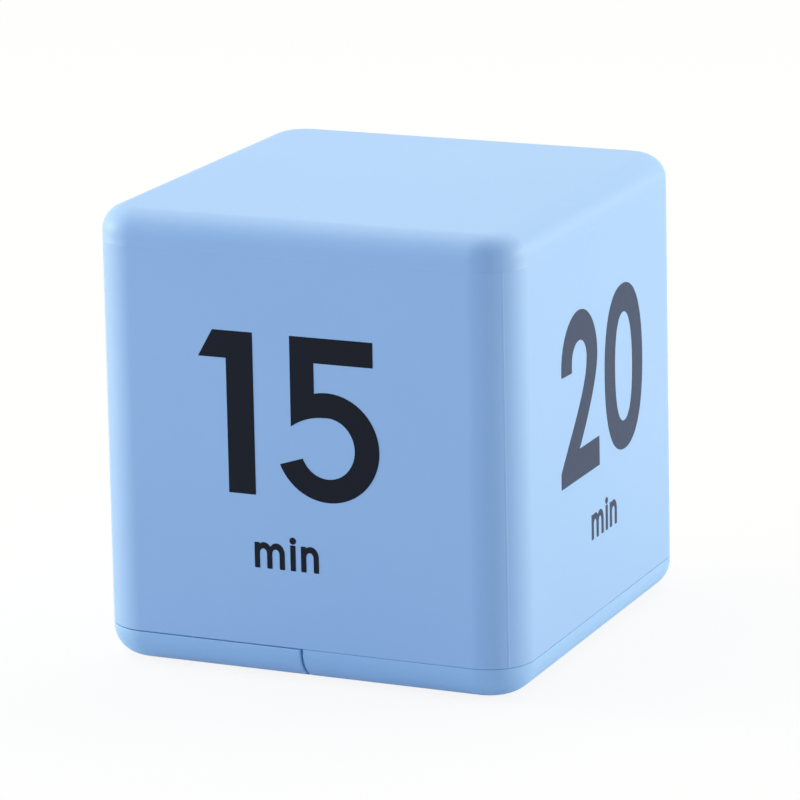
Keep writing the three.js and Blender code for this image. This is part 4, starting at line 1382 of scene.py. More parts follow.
@dataclass
class BaseCover:
    """The fixed half of the base, with its lip, the battery box and the seats of what it carries."""

    band: Band
    door: BatteryDoor
    edge: float = -0.15
    seam_gap: float = 0.03
    rim: float = 0.05
    floor: float = 2.0
    lip_wall: float = 1.3
    lip_edge: float = 0.25
    step: float = 2.9
    cell_clear: float = 0.4
    cell_wall: float = 1.2
    cell_end: float = 1.45
    cell_edge: float = 0.4
    cell_corner: float = 0.3
    play: float = 0.3
    root: float = 0.5
    post: float = 2.9
    post_edge: float = 0.2
    well: float = 2.1
    well_top: float = 2.5
    well_edges: Spot = (0.3, 0.15)
    bore: float = 1.15
    board_post: float = 1.9
    board_post_edge: float = 0.15
    board_bore: float = 0.9
    board_bore_depth: float = 5.0
    ring: float = 1.0
    ring_rise: float = 2.2
    seat_rise: float = 1.0
    ledge: float = 0.8
    hole: float = 0.6
    hole_edge: float = 0.15
    holes: int = 6
    hole_circle: float = 3.0
    lens_margin: float = 1.5
    lens_corner: float = 0.4
    recess: float = 1.2
    recess_corner: float = 0.6
    recess_edge: float = 0.2
    lamp: float = 1.7
    lamp_edge: float = 0.3
    knob_half: Spot = (1.5, 2.0)
    travel: float = 4.0
    slot_corner: float = 0.5
    dish_margin: float = 1.4
    dish: float = 0.6
    dish_edges: Spot = (0.25, 0.3)
    socket_corner: float = 0.3

    def hull(self) -> Mesh:
        """The band with its lip and the battery box, hollowed out.

        Returns:
            The closed mesh.
        """
        housing, wall = self.band.housing, self.lip_wall
        wide, deep, corner = housing.lip
        low, top = self.door.floor + self.play, housing.box.low[2] - self.seam_gap
        cells = Box.of("battery_1", "battery_2")
        left, right = cells.low[0] - self.cell_clear, cells.high[0] + self.cell_clear
        front = Box.of("negative_contact_plate").low[1] - SEAT
        back = Box.of("bridge_contact_plate").high[1] + SEAT
        outer = right + self.cell_wall
        lip = Outline(0, 0, wide, deep, corner, 16).prism(low, housing.lip_top, self.lip_edge)
        box = Outline(0, 0, wide, back + self.cell_end, corner, 16).prism(
            low, Box.of("base_cover").high[2], self.cell_edge)
        box = combined("cell_box", box, cuts=[all_past(outer, 1)])
        room = Outline(0, 0, wide - wall, deep - wall, corner - wall, 12)
        low_room = combined("low_room", room.prism(self.floor, housing.box.low[2]),
                            cuts=[all_past(self.edge + self.step, -1)])
        high_room = combined("high_room", room.prism(top, BEYOND), cuts=[all_past(outer, -1)])
        band = combined("fixed_band", self.band.slab(top, self.rim), cuts=[
            all_past(self.edge, -1), self.band.shoulders(self.edge, 1)])
        compartment = block((left, right), (front, back), (-BEYOND, cells.high[2] + self.cell_clear),
                            self.cell_corner)
        return combined("base_hull", band, [lip, box], [low_room, high_room, compartment])

    def seats(self) -> tuple[list[Mesh], list[Mesh]]:
        """The posts and the sounder's ring, with the wells and bores that go into them.

        Returns:
            The shapes to join and the shapes to cut.
        """
        root, top = self.floor - self.root, self.band.housing.lip_top
        joins, cuts = [], []
        for index in range(1, 5):
            x, y = Box.of(f"case_screw_{index}").middle[:2]
            cuts.append(disc(x, y, self.bore).prism(0, BEYOND))
            if index > 2:
                joins.append(disc(x, y, self.post, 16).prism(root, top, self.post_edge))
                cuts.append(disc(x, y, self.well, 16).mouth(top - self.well_top, *self.well_edges))
        under_board = Box.of("main_board").low[2] - SEAT
        for index in range(1, 4):
            x, y = Box.of(f"board_screw_{index}").middle[:2]
            joins.append(disc(x, y, self.board_post, 12).prism(root, under_board, self.board_post_edge))
            cuts.append(disc(x, y, self.board_bore).prism(under_board - self.board_bore_depth + SEAT, BEYOND))
        sounder = Box.of("piezo_disc")
        x, y = sounder.middle[:2]
        seat, rise = sounder.half[0] + self.play, self.floor + self.ring_rise
        joins.append(disc(x, y, seat + self.ring, 20).prism(root, rise, self.post_edge))
        cuts.append(disc(x, y, seat, 20).prism(self.floor + self.seat_rise, BEYOND))
        cuts.append(disc(x, y, sounder.half[0] - self.ledge, 20).prism(self.floor, BEYOND))
        turns = [index * 2 * math.pi / self.holes for index in range(self.holes)]
        ring = [(x + self.hole_circle * math.cos(t), y + self.hole_circle * math.sin(t)) for t in turns]
        for spot in [(x, y), *ring]:
            cuts.append(disc(*spot, self.hole, 6).mouth(self.floor + OVERRUN, self.hole_edge))
        return joins, cuts

    def floor_openings(self) -> list[Mesh]:
        """The window in its recess, the lamp's hole, and the switch's slot in its dish.

        Returns:
            The shapes to cut.
        """
        through, margin = self.floor + OVERRUN, self.dish_margin
        window, lamp, switch = Box.of("display_window"), Box.of("led_window"), Box.of("switch_frame")
        lens = Outline(*window.middle[:2], *(window.half[:2] - self.lens_margin), self.lens_corner, 5)
        slot = np.add(self.knob_half, (self.play, self.travel / 2 + self.play))
        place = switch.middle[:2]
        return [
            lens.prism(-OVERRUN, through),
            window.outline(self.recess_corner, SEAT).mouth(self.recess, self.recess_edge),
            disc(*lamp.middle[:2], self.lamp).mouth(through, self.lamp_edge),
            Outline(*place, *slot, self.slot_corner, 5).prism(-OVERRUN, through),
            Outline(*place, *(slot + margin), margin, 8).mouth(self.dish, *self.dish_edges),
        ]

    def pockets(self) -> list[Mesh]:
        """The grooves for the door's rails, the socket for its tongue and the pockets for the contacts' tabs.

        Returns:
            The shapes to cut.
        """
        door, play = self.door, self.play
        inset, _, thick = door.rail
        reach = self.band.housing.lip[1] - door.rail_reach - play
        cuts = [block((-BEYOND, door.edge - inset + play + OVERRUN), ordered(side * reach, side * BEYOND),
                      (door.rail_top - thick - play, door.rail_top + play)) for side in (-1, 1)]
        half, low, rise = door.tongue
        cuts.append(block((self.edge - OVERRUN, door.box.high[0] + play), (-half - play, half + play),
                          (low - play, low + rise + play), self.socket_corner))
        for name, pole in (("battery_1", "negative"), ("battery_2", "positive")):
            cell, front = Box.of(name), Box.of(f"{pole}_contact_plate").low[1]
            x, wide = cell.middle[0], TAB_HALF + play
            cuts.append(block((x - wide, x + wide), (front - SEAT - play, front + SHEET + play),
                              (cell.high[2] - OVERRUN, BEYOND)))
        return cuts

    def dress(self, shop: Workshop) -> None:
        """Builds and places the base.

        Args:
            shop: the workshop.
        """
        joins, cuts = self.seats()
        cuts += [*self.floor_openings(), *self.pockets()]
        shell = combined("base_shell", self.hull(), joins, cuts)
        # Its finish is the housing's ABS painted a trace lighter: painted light on the lower band.
        shop.fit(shell, "blue_plastic", "base_cover", finish="base_plastic")


@dataclass
class Power:
    """The two cells, side by side and head to tail, with their sheet-metal contacts and springs."""

    film: float = 0.12
    nipple: float = 1.9
    nipple_rise: float = 1.0
    can_edge: float = 0.45
    overlap: float = 0.9
    crimp: float = 0.06
    fold: float = 0.05
    groove: Spot = (1.6, 1.05)
    groove_deep: float = 0.3
    plate_rise: float = 4.5
    plate_corner: float = 1.0
    sheet_edge: float = 0.08
    tab_corner: float = 0.4
    tab_hole: float = 0.4
    tab_hole_drop: float = 1.0
    dimple: float = 2.2
    dimple_rise: float = 0.9
    wire: float = 0.25
    spring_low: float = 3.2
    spring_high: float = 2.1
    turns: float = 4.0
    flat_share: float = 0.12
    rising_share: float = 0.83
    ease_share: float = 0.25

    def cell(self, shop: Workshop, index: int, finish: str) -> None:
        """A steel can with a nipple, and a shrunk film that folds over both shoulders.

        Args:
            shop: the workshop.
            index: 1 for the cell whose positive end is at the back, 2 for the other one.
            finish: the film's finish.
        """
        box = Box.of(f"battery_{index}")
        axis = Axis.BACK if index == 1 else Axis.FRONT
        radius, half = box.half[0], box.half[1]
        can = radius - self.film
        shoulder = half - self.nipple_rise
        inner, outer = (can - reach for reach in self.groove)
        deep, root, edge = -half + self.groove_deep, shoulder - self.film, self.can_edge
        steel = lathe([
            (CORE, -half, 0), (inner, -half, 0.12), (inner + 0.1, deep, 0.08), (outer - 0.1, deep, 0.08),
            (outer, -half, 0.08), (can, -half, edge), (can, root, edge), (self.nipple + 0.5, root, 0.3),
            (self.nipple, shoulder, 0.2), (self.nipple, half, 0.35), (CORE, half, 0),
        ], f"cell_{index}_can", 12)
        low, lap, fold = -half + self.crimp, can - self.overlap, self.fold
        film = lathe([
            (lap, low + self.film, 0), (can, low + self.film, edge), (can, root, edge), (lap, root, 0),
            (lap, shoulder, fold), (radius, shoulder, edge + self.film), (radius, low, edge + self.film),
            (lap, low, fold), (lap, low + self.film, 0),
        ], f"cell_{index}_film", 12)
        for mesh, slot, look in ((steel, "contact_nickel", ""), (film, "cell_jacket", finish)):
            shop.fit(turned_to(mesh, axis, box.middle), slot, f"battery_{index}", finish=look)

    def sheet(self, name: str, cells: Sequence[int], dimple: int, back: bool) -> Mesh:
        """A contact plate with rounded corners, and a pressed dimple where it meets a cell's nipple.

        Args:
            name: the plate's node.
            cells: the cells in front of it.
            dimple: the cell whose nipple it meets, or 0.
            back: whether it stands at the back, facing forwards.

        Returns:
            The mesh.
        """
        box = Box.of(name)
        middle = Box.of(*(f"battery_{i}" for i in cells)).middle
        level = Box.of("battery_1").middle[2]
        axis, face = (Axis.FRONT, box.high[1]) if back else (Axis.BACK, box.low[1])
        place, edge = (middle[0], face, level), self.sheet_edge
        plan = Outline(0, 0, box.half[0], self.plate_rise, self.plate_corner, 6)
        plate_mesh = turned_to(plan.prism(0, SHEET, edge), axis, place)
        joins, cuts = [], []
        if not back:
            rise = (box.high[2] - level) / 2
            tab = Outline(0, rise, TAB_HALF, rise, self.tab_corner, 4).prism(0, SHEET, edge)
            joins.append(turned_to(tab, axis, place))
            hole = disc(0, 2 * rise - self.tab_hole_drop, self.tab_hole, 5).prism(-OVERRUN, OVERRUN)
            cuts.append(turned_to(hole, axis, place))
        if dimple:
            bump = lathe([(self.dimple + 0.3, SHEET - 0.3, 0), (self.dimple, SHEET, 0.25),
                          (self.dimple, self.dimple_rise, 0.3), (CORE, self.dimple_rise, 0)])
            joins.append(turned_to(bump, axis, (Box.of(f"battery_{dimple}").middle[0], face, level)))
        return combined(name.replace("_plate", "_sheet"), plate_mesh, joins, cuts)

    def spring(self, name: str) -> Mesh:
        """A tapering spring: its radius falls evenly along the turns, and its first turn lies on the plate.

        The wire's middle is at radius r(s) in the direction 2 pi turns s. The share u of its rise is s minus
        a flat start, eased a little towards 3 u^2 - 2 u^3.

        Args:
            name: the spring's node.

        Returns:
            The mesh.
        """
        box, level = Box.of(name), Box.of("battery_1").middle[2]
        share = np.linspace(0, 1, int(self.turns * 28) + 1)
        radius = self.spring_low + (self.spring_high - self.spring_low) * share
        turn = 2 * math.pi * self.turns * share
        rise = np.clip((share - self.flat_share) / self.rising_share, 0, 1)
        rise = rise * (1 - self.ease_share) + (3 * rise**2 - 2 * rise**3) * self.ease_share
        length = box.high[1] - box.low[1] - self.wire * 2
        towards = 1 if name.startswith("negative") else -1
        start = (box.low if towards > 0 else box.high)[1] + towards * self.wire
        x = Box.of("battery_1" if towards > 0 else "battery_2").middle[0]
        path = np.stack([x + radius * np.cos(turn), start + towards * rise * length,
                         level + radius * np.sin(turn)], 1)
        return tube(path, self.wire, name.replace("spring", "coil"), 10)

    def dress(self, shop: Workshop) -> None:
        """Places the cells and their contacts.

        Args:
            shop: the workshop.
        """
        self.cell(shop, 1, "cell_jacket")
        self.cell(shop, 2, "cell_jacket_turned")
        for name, cells, dimple, back in (("negative_contact_plate", [1], 0, False),
                                          ("positive_contact_plate", [2], 2, False),
                                          ("bridge_contact_plate", [1, 2], 1, True)):
            shop.fit(self.sheet(name, cells, dimple, back), "contact_nickel", name)
        for name in ("negative_contact_spring", "bridge_contact_spring"):
            shop.fit(self.spring(name), "spring_steel", name, angle=math.pi)


@dataclass
class Screws:
    """Pan-head screws with a cross recess and a rolled thread."""

    head: float
    rise: float
    shank: float
    names: tuple[str, ...]
    axis: Axis
    pitch: float = 0.9
    ridge: float = 0.16
    steepness: float = 2.2
    point: float = 1.2
    tip_share: float = 0.12
    root: float = 0.2
    recess: float = 0.7
    recess_share: float = 0.55
    recess_half: float = 0.26
    crisp: float = math.radians(50)

    def thread(self, length: float) -> Mesh:
        """The threaded shank.

        Its radius at the angle t and the height z is the core plus the ridge, a wedge round the places where
        z / pitch - t / 2 pi is whole. The last stretch narrows evenly to a point.

        Args:
            length: the length of the shank.

        Returns:
            The mesh.
        """
        high = np.linspace(-self.root, length, int(length / self.pitch * 12))[:, None]
        turn = np.linspace(0, 2 * math.pi, 24, endpoint=False)[None]
        away = np.abs((high / self.pitch - turn / (2 * math.pi)) % 1 * 2 - 1)
        wedge = np.clip(1 - away * self.steepness, 0, 1)
        core = self.shank - self.ridge
        radius = core + self.ridge * wedge * np.clip(high / self.pitch, 0, 1)
        radius = radius * np.clip((length - high) / self.point, self.tip_share, 1)
        level = np.broadcast_to(high, radius.shape)
        return closed_grid(np.stack([radius * np.cos(turn), radius * np.sin(turn), level], -1))

    def dress(self, shop: Workshop) -> None:
        """Makes the screws and places them.

        Args:
            shop: the workshop.
        """
        wide, slim, rise = self.head * self.recess_share, self.recess_half, self.rise
        for name in self.names:
            box = Box.of(name)
            length = box.high[2] - box.low[2] - rise
            head = lathe([(CORE, -rise, 0), (self.head * 0.75, -rise, 0.3), (self.head, -rise * 0.45, 0.3),
                          (self.head, 0, 0.12), (CORE, 0, 0)], name, 10, 4)
            slots = [Outline(0, 0, x, y, 0.1, 3).solid([
                (0, -BEYOND, 0), (0, -rise, 0), (-0.08, self.recess - rise, 0),
            ]) for x, y in ((wide, slim), (slim, wide))]
            screw = combined(f"{name}_steel", head, [self.thread(length)], slots)
            z = box.low[2] + rise if self.axis is Axis.UP else box.high[2] - rise
            shop.fit(turned_to(screw, self.axis, (*box.middle[:2], z)), "screw_steel", name, angle=self.crisp)


@dataclass
class Display:
    """The window, the liquid crystal glass with its segments, the holder and the rubber connector."""

    film: float = 0.03
    segment: float = 0.75
    digit: Spot = (3.6, 6.6)
    gap: float = 0.12
    slant: float = 0.06
    places: tuple[float, ...] = (-8.6, -3.5, 3.5, 8.6)
    dot: float = 0.42
    dot_level: float = 1.4
    window_edges: Spot = (0.4, 0.12)
    glass_edges: Spot = (0.15, 0.06)
    ledge: float = 0.9
    holder_edges: Spot = (0.6, 0.2)
    opening_corner: float = 0.5
    strip_edges: Spot = (0.2, 0.1)
    room: float = 0.3
    bar: float = 1.0

    def segments(self) -> list[Array]:
        """The outlines of seven bars for each of four figures, and of the two dots between them.

        A bar is a hexagon whose ends run to points at 45 degrees. The slant moves each point sideways by a
        share of its height.

        Returns:
            The outlines, with the figures in a row along the first axis.
        """
        w, h, s, g = self.digit[0] / 2, self.digit[1] / 2, self.segment / 2, self.gap
        flat = np.array([(-w + s + g, 0), (-w + 2 * s + g, -s), (w - 2 * s - g, -s), (w - s - g, 0),
                         (w - 2 * s - g, s), (-w + 2 * s + g, s)])
        reach = h / 2 - s / 2
        tall = np.array([(0, -reach + g), (s, -reach + s + g), (s, reach - s - g), (0, reach - g),
                         (-s, reach - s - g), (-s, -reach + s + g)])
        lines = []
        for place in self.places:
            bars = [flat + (0, level) for level in (-h + s, 0, h - s)]
            bars += [tall + (side * (w - s), level * (h - s) / 2) for side in (-1, 1) for level in (-1, 1)]
            lines += [bar + (place, 0) for bar in bars]
        dots = (-self.dot_level, self.dot_level)
        lines += [arc(0, level, (self.dot, self.dot), 0, 360, 16)[:-1] for level in dots]
        return [np.stack([line[:, 0] + self.slant * line[:, 1], line[:, 1]], 1) for line in lines]

    def dress(self, shop: Workshop) -> None:
        """Places the display's pieces.

        Args:
            shop: the workshop.
        """
        window, glass, holder, strip = (Box.of(name) for name in (
            "display_window", "lcd_glass", "lcd_holder", "zebra_connector"))
        pane = mesh_named(window.prism(*self.window_edges), "window_pane")
        shop.fit(pane, "window_plastic", "display_window")
        x, y, _ = glass.middle
        sheet = Box(glass.low + (0, 0, self.film), glass.high)
        upper = Box(sheet.low + (0, 0, glass.half[2]), sheet.high)
        lower = Box(sheet.low + (self.ledge, 0, 0), sheet.high - (0, 0, glass.half[2]))
        panes = combined("display_panes", upper.prism(*self.glass_edges), [lower.prism(*self.glass_edges)])
        shop.fit(panes, "display_glass", "lcd_glass")
        marks = []
        for line in self.segments():
            turned = np.stack([x - line[:, 1], y + line[:, 0]], 1)
            rows = [np.column_stack([turned, np.full(len(turned), level)])
                    for level in (glass.low[2], sheet.low[2])]
            marks.append(closed_grid(np.stack(rows)))
        shop.fit(welded("display_figures", marks), "display_glass", "lcd_glass", finish="display_segments")
        inner = glass.outline(self.room, self.room)
        left = strip.low[0] - self.room - self.bar
        wide = (inner.y - inner.half_y, inner.y + inner.half_y)
        tray = combined("display_holder", holder.prism(*self.holder_edges), cuts=[
            inner.prism(0, glass.high[2] + SEAT),
            block((inner.x - inner.half_x, left), wide, (0, BEYOND), self.opening_corner),
            strip.outline(self.strip_edges[0], self.room).prism(0, BEYOND),
        ])
        shop.fit(tray, "holder_plastic", "lcd_holder")
        rubber = mesh_named(strip.prism(*self.strip_edges), "connector_strip")
        shop.fit(rubber, "connector_rubber", "zebra_connector")


@dataclass
class Signals:
    """The lamp behind its plug, and the sounder's brass disc with its ceramic."""

    dome: float = 1.5
    flange: float = 1.8
    flange_rise: float = 0.8
    length: float = 4.0
    pin: float = 0.25
    pin_gap: float = 0.75
    pin_out: float = 0.3
    joint: float = 0.66
    collar: float = 0.5
    collar_rise: float = 0.7

    def dress(self, shop: Workshop) -> None:
        """Places the lamp and the sounder.

        Args:
            shop: the workshop.
        """
        guide, lamp, board = Box.of("led_window"), Box.of("led"), Box.of("main_board").high[2]
        x, y, _ = guide.middle
        wide, high = guide.half[0], guide.high[2] - guide.low[2]
        neck, collar = wide - self.collar, high - self.collar_rise
        light = lathe([(0.15, 0.12, 0), (neck * 0.6, 0.1, 0.4), (neck, 0, 0.25), (neck, collar, 0),
                       (wide, collar, 0.1), (wide, high, 0.1), (0.15, high, 0)], "lamp_plug", 10)
        shop.fit(turned_to(light, Axis.UP, (x, y, guide.low[2])), "lamp_plug_plastic", "led_window")
        foot, low = self.length, self.length - self.flange_rise
        resin = lathe([(0.06, 0, 0), (self.dome, 0, self.dome * 0.93), (self.dome, low, 0),
                       (self.flange, low, 0.12), (self.flange, foot, 0.12), (CORE, foot, 0)],
                      "signal_lamp", 10, 12)
        shop.fit(turned_to(resin, Axis.UP, (x, y, lamp.low[2])), "lamp_resin", "led")
        rods = [disc(x, y + side * self.pin_gap, self.pin, 4).prism(
            lamp.low[2] + foot - SEAT, lamp.high[2] + self.pin_out, 0.08) for side in (-1, 1)]
        joints = [solder(x, y + side * self.pin_gap, board, wide=self.joint) for side in (-1, 1)]
        shop.fit(combined("lamp_pins", rods[0], [rods[1], *joints]), "contact_nickel", "led")
        for name, part, slot, edge in (("sounder_disc", "piezo_disc", "disc_brass", 0.06),
                                       ("sounder_ceramic", "piezo_ceramic", "ceramic", 0.05)):
            box = Box.of(part)
            wide, high = box.half[0], box.high[2] - box.low[2]
            layer = lathe([(CORE, 0, 0), (wide, 0, edge), (wide, high, edge), (CORE, high, 0)], name, 20, 3)
            shop.fit(turned_to(layer, Axis.UP, (*box.middle[:2], box.low[2])), slot, part)


@dataclass
class VolumeSwitch:
    """The slide switch on the board and the knob that shows in the base."""

    shell: float = 0.4
    shell_edges: Spot = (0.6, 0.25)
    wafer_edges: Spot = (0.3, 0.06)
    pin: float = 0.3
    pin_edge: float = 0.12
    pin_pitch: float = 2.5
    lug: float = 0.5
    lug_in: float = 1.2
    lug_deep: float = 0.12
    stem: Spot = (1.0, 1.2)
    stem_edges: Spot = (0.25, 0.1)
    stem_room: Spot = (0.3, 2.3)
    stem_root: float = 0.9
    block: Spot = (1.8, 2.5)
    block_edges: Spot = (0.3, 0.12)
    block_rise: float = 1.8
    knob: Spot = (1.5, 2.0)
    knob_edges: Spot = (0.45, 0.35)
    flange: float = 1.0
    flange_edges: Spot = (0.5, 0.12)
    grooves: int = 3
    groove_pitch: float = 1.0
    groove_half: float = 0.2
    groove_deep: float = 0.25
    groove_edges: Spot = (0.08, 0.08)

    def metalwork(self, shop: Workshop) -> None:
        """Places what stays still: the wafer, its six pins and the shell with its slot.

        Args:
            shop: the workshop.
        """
        base, shell, board = Box.of("switch_base"), Box.of("switch_frame"), Box.of("main_board").high[2]
        x, y, _ = shell.middle
        low, top = shell.low[2], shell.high[2]
        wafer = Box(base.low, np.array([*base.high[:2], top])).prism(*self.wafer_edges)
        shop.fit(mesh_named(wafer, "switch_wafer"), "switch_wafer", "switch_base")
        reach = shell.half[0] - self.shell - self.pin * 2
        spots = [(x + side * reach, y + i * self.pin_pitch) for i in (-1, 0, 1) for side in (-1, 1)]
        pins = [disc(*spot, self.pin, 4).prism(top, base.high[2], self.pin_edge) for spot in spots]
        joints = [solder(*spot, board) for spot in spots]
        shop.fit(combined("switch_pins", pins[0], [*pins[1:], *joints]), "switch_shell", "switch_base")
        inside = shell.outline(self.wafer_edges[0], -self.shell).prism(low + self.shell, BEYOND)
        slot = Outline(x, y, *np.add(self.stem, self.stem_room), 0.5, 5).prism(0, BEYOND)
        lugs = [disc(x, y + side * (shell.half[1] - self.lug_in), self.lug, 5).prism(
            low - OVERRUN, low + self.lug_deep) for side in (-1, 1)]
        can = combined("switch_shell", shell.prism(*self.shell_edges), cuts=[inside, slot, *lugs])
        shop.fit(can, "switch_shell", "switch_frame")

    def dress(self, shop: Workshop) -> None:
        """Places the still parts, then the lever and the knob that slide together.

        The knob is a block with round-ended grooves, a flange above the floor and a socket for the stem.

        Args:
            shop: the workshop.
        """
        self.metalwork(shop)
        lever, cap = Box.of("switch_lever"), Box.of("switch_knob")
        (x, y, top), low, high = (*lever.middle[:2], lever.high[2]), cap.low[2], cap.high[2]
        corner, rim = self.block_edges
        slide = Outline(x, y, *self.block, corner, 6).prism(top - self.block_rise, top, rim)
        corner, rim = self.stem_edges
        stem = Outline(x, y, *self.stem, corner, 6).prism(lever.low[2], top - self.stem_root, rim)
        socket = Outline(x, y, *np.add(self.stem, SEAT), corner, 4).prism(lever.low[2] - SEAT, BEYOND)
        slider = combined("switch_slider", slide, [stem])
        shop.fit(slider, "switch_plastic", "switch_lever", body="volume_switch")
        corner, rim = self.knob_edges
        button = Outline(x, y, *self.knob, corner, 6).solid([
            (-0.4, low, 0), (0, low, rim), (0, high, 0), (-0.4, high, 0)], steps=5)
        places = [y + (i - (self.grooves - 1) / 2) * self.groove_pitch for i in range(self.grooves)]
        grooves = [Outline(x, place, self.knob[0] - corner, self.groove_half, self.groove_half, 5).mouth(
            self.groove_deep, *self.groove_edges) for place in places]
        for groove in grooves:
            groove.transform(Matrix.Translation((0, 0, low * MM)))
        corner, rim = self.flange_edges
        flange = cap.outline(corner).prism(high - self.flange, high, rim)
        knob = combined("volume_knob", button, [flange], [socket, *grooves])
        shop.fit(knob, "switch_plastic", "switch_knob", body="volume_switch")


@dataclass
class TiltSwitch:
    """One tilt switch: a drawn can, a plug with two bent pins, and a loose ball."""

    index: int
    shell: float = 0.3
    plug: float = 1.4
    pin: float = 0.25
    pin_gap: float = 0.75
    pin_out: float = 1.2
    pin_down: float = 1.6
    pin_bend: float = 0.5
    rim: float = 0.5
    neck: float = 0.2
    edge: float = 0.1
    end_edges: Spot = (0.5, 0.75)
    plug_edge: float = 0.15
    pole: float = 1.54

    def dress(self, shop: Workshop) -> None:
        """Places the can, the plug and the ball, along the axis from the plug to the closed end.

        Args:
            shop: the workshop.
        """
        can, plug, ball = (Box.of(f"tilt_{part}_{self.index}") for part in ("can", "plug", "ball"))
        long = int(np.argmax(can.half))
        onwards = can.middle[long] > plug.middle[long]
        axis = ((Axis.LEFT, Axis.RIGHT) if long == 0 else (Axis.FRONT, Axis.BACK))[int(onwards)]
        radius, half = can.half[2], can.half[long]
        bore, rim, edge = radius - self.shell, -half + self.rim, self.edge
        inner, outer = self.end_edges
        cup = lathe([
            (CORE, half - self.shell, 0), (bore, half - self.shell, inner), (bore, -half + 0.15, edge),
            (bore + edge, -half, 0), (radius, -half, edge), (radius, rim, edge),
            (radius - edge, rim + self.neck, self.neck), (radius - edge, half, outer), (CORE, half, 0),
        ], f"tilt_{self.index}_can", 9, 6)
        shop.fit(turned_to(cup, axis, can.middle), "tilt_can_steel", f"tilt_can_{self.index}")
        wide, low, high, edge = bore - SEAT, -half - SEAT, -half + self.plug, self.plug_edge
        stop = lathe([(CORE, low, 0), (wide, low, edge), (wide, high, edge), (CORE, high, 0)],
                     f"tilt_{self.index}_plug", 9, 4)
        shop.fit(turned_to(stop, axis, can.middle), "tilt_plug_plastic", f"tilt_plug_{self.index}")
        across, _, out = (np.array(direction, float) for direction in axis.value)
        pins, board = [], Box.of("main_board").low[2]
        for side in (-1, 1):
            bend = rounded([(-half - SEAT * 2, 0, 0), (-half - self.pin_out, 0, self.pin_bend),
                            (-half - self.pin_out, -radius - self.pin_down, 0)], 6)
            path = can.middle + bend[:, :1] * out + side * self.pin_gap * across + bend[:, 1:] * (0, 0, 1)
            pins += [tube(path, self.pin, "pin", 8), solder(*path[-1][:2], board, -1)]
        wires = combined(f"tilt_{self.index}_pins", pins[0], pins[1:])
        shop.fit(wires, "contact_nickel", f"tilt_plug_{self.index}")
        size, slopes = ball.half[0], np.linspace(-self.pole, self.pole, 25)
        sphere = lathe([(size * math.cos(slope), size * math.sin(slope), 0) for slope in slopes],
                       f"tilt_{self.index}_ball", 8)
        shop.fit(turned_to(sphere, Axis.UP, ball.middle), "tilt_ball_steel", f"tilt_ball_{self.index}",
                 body=f"tilt_ball_{self.index}", angle=math.pi)


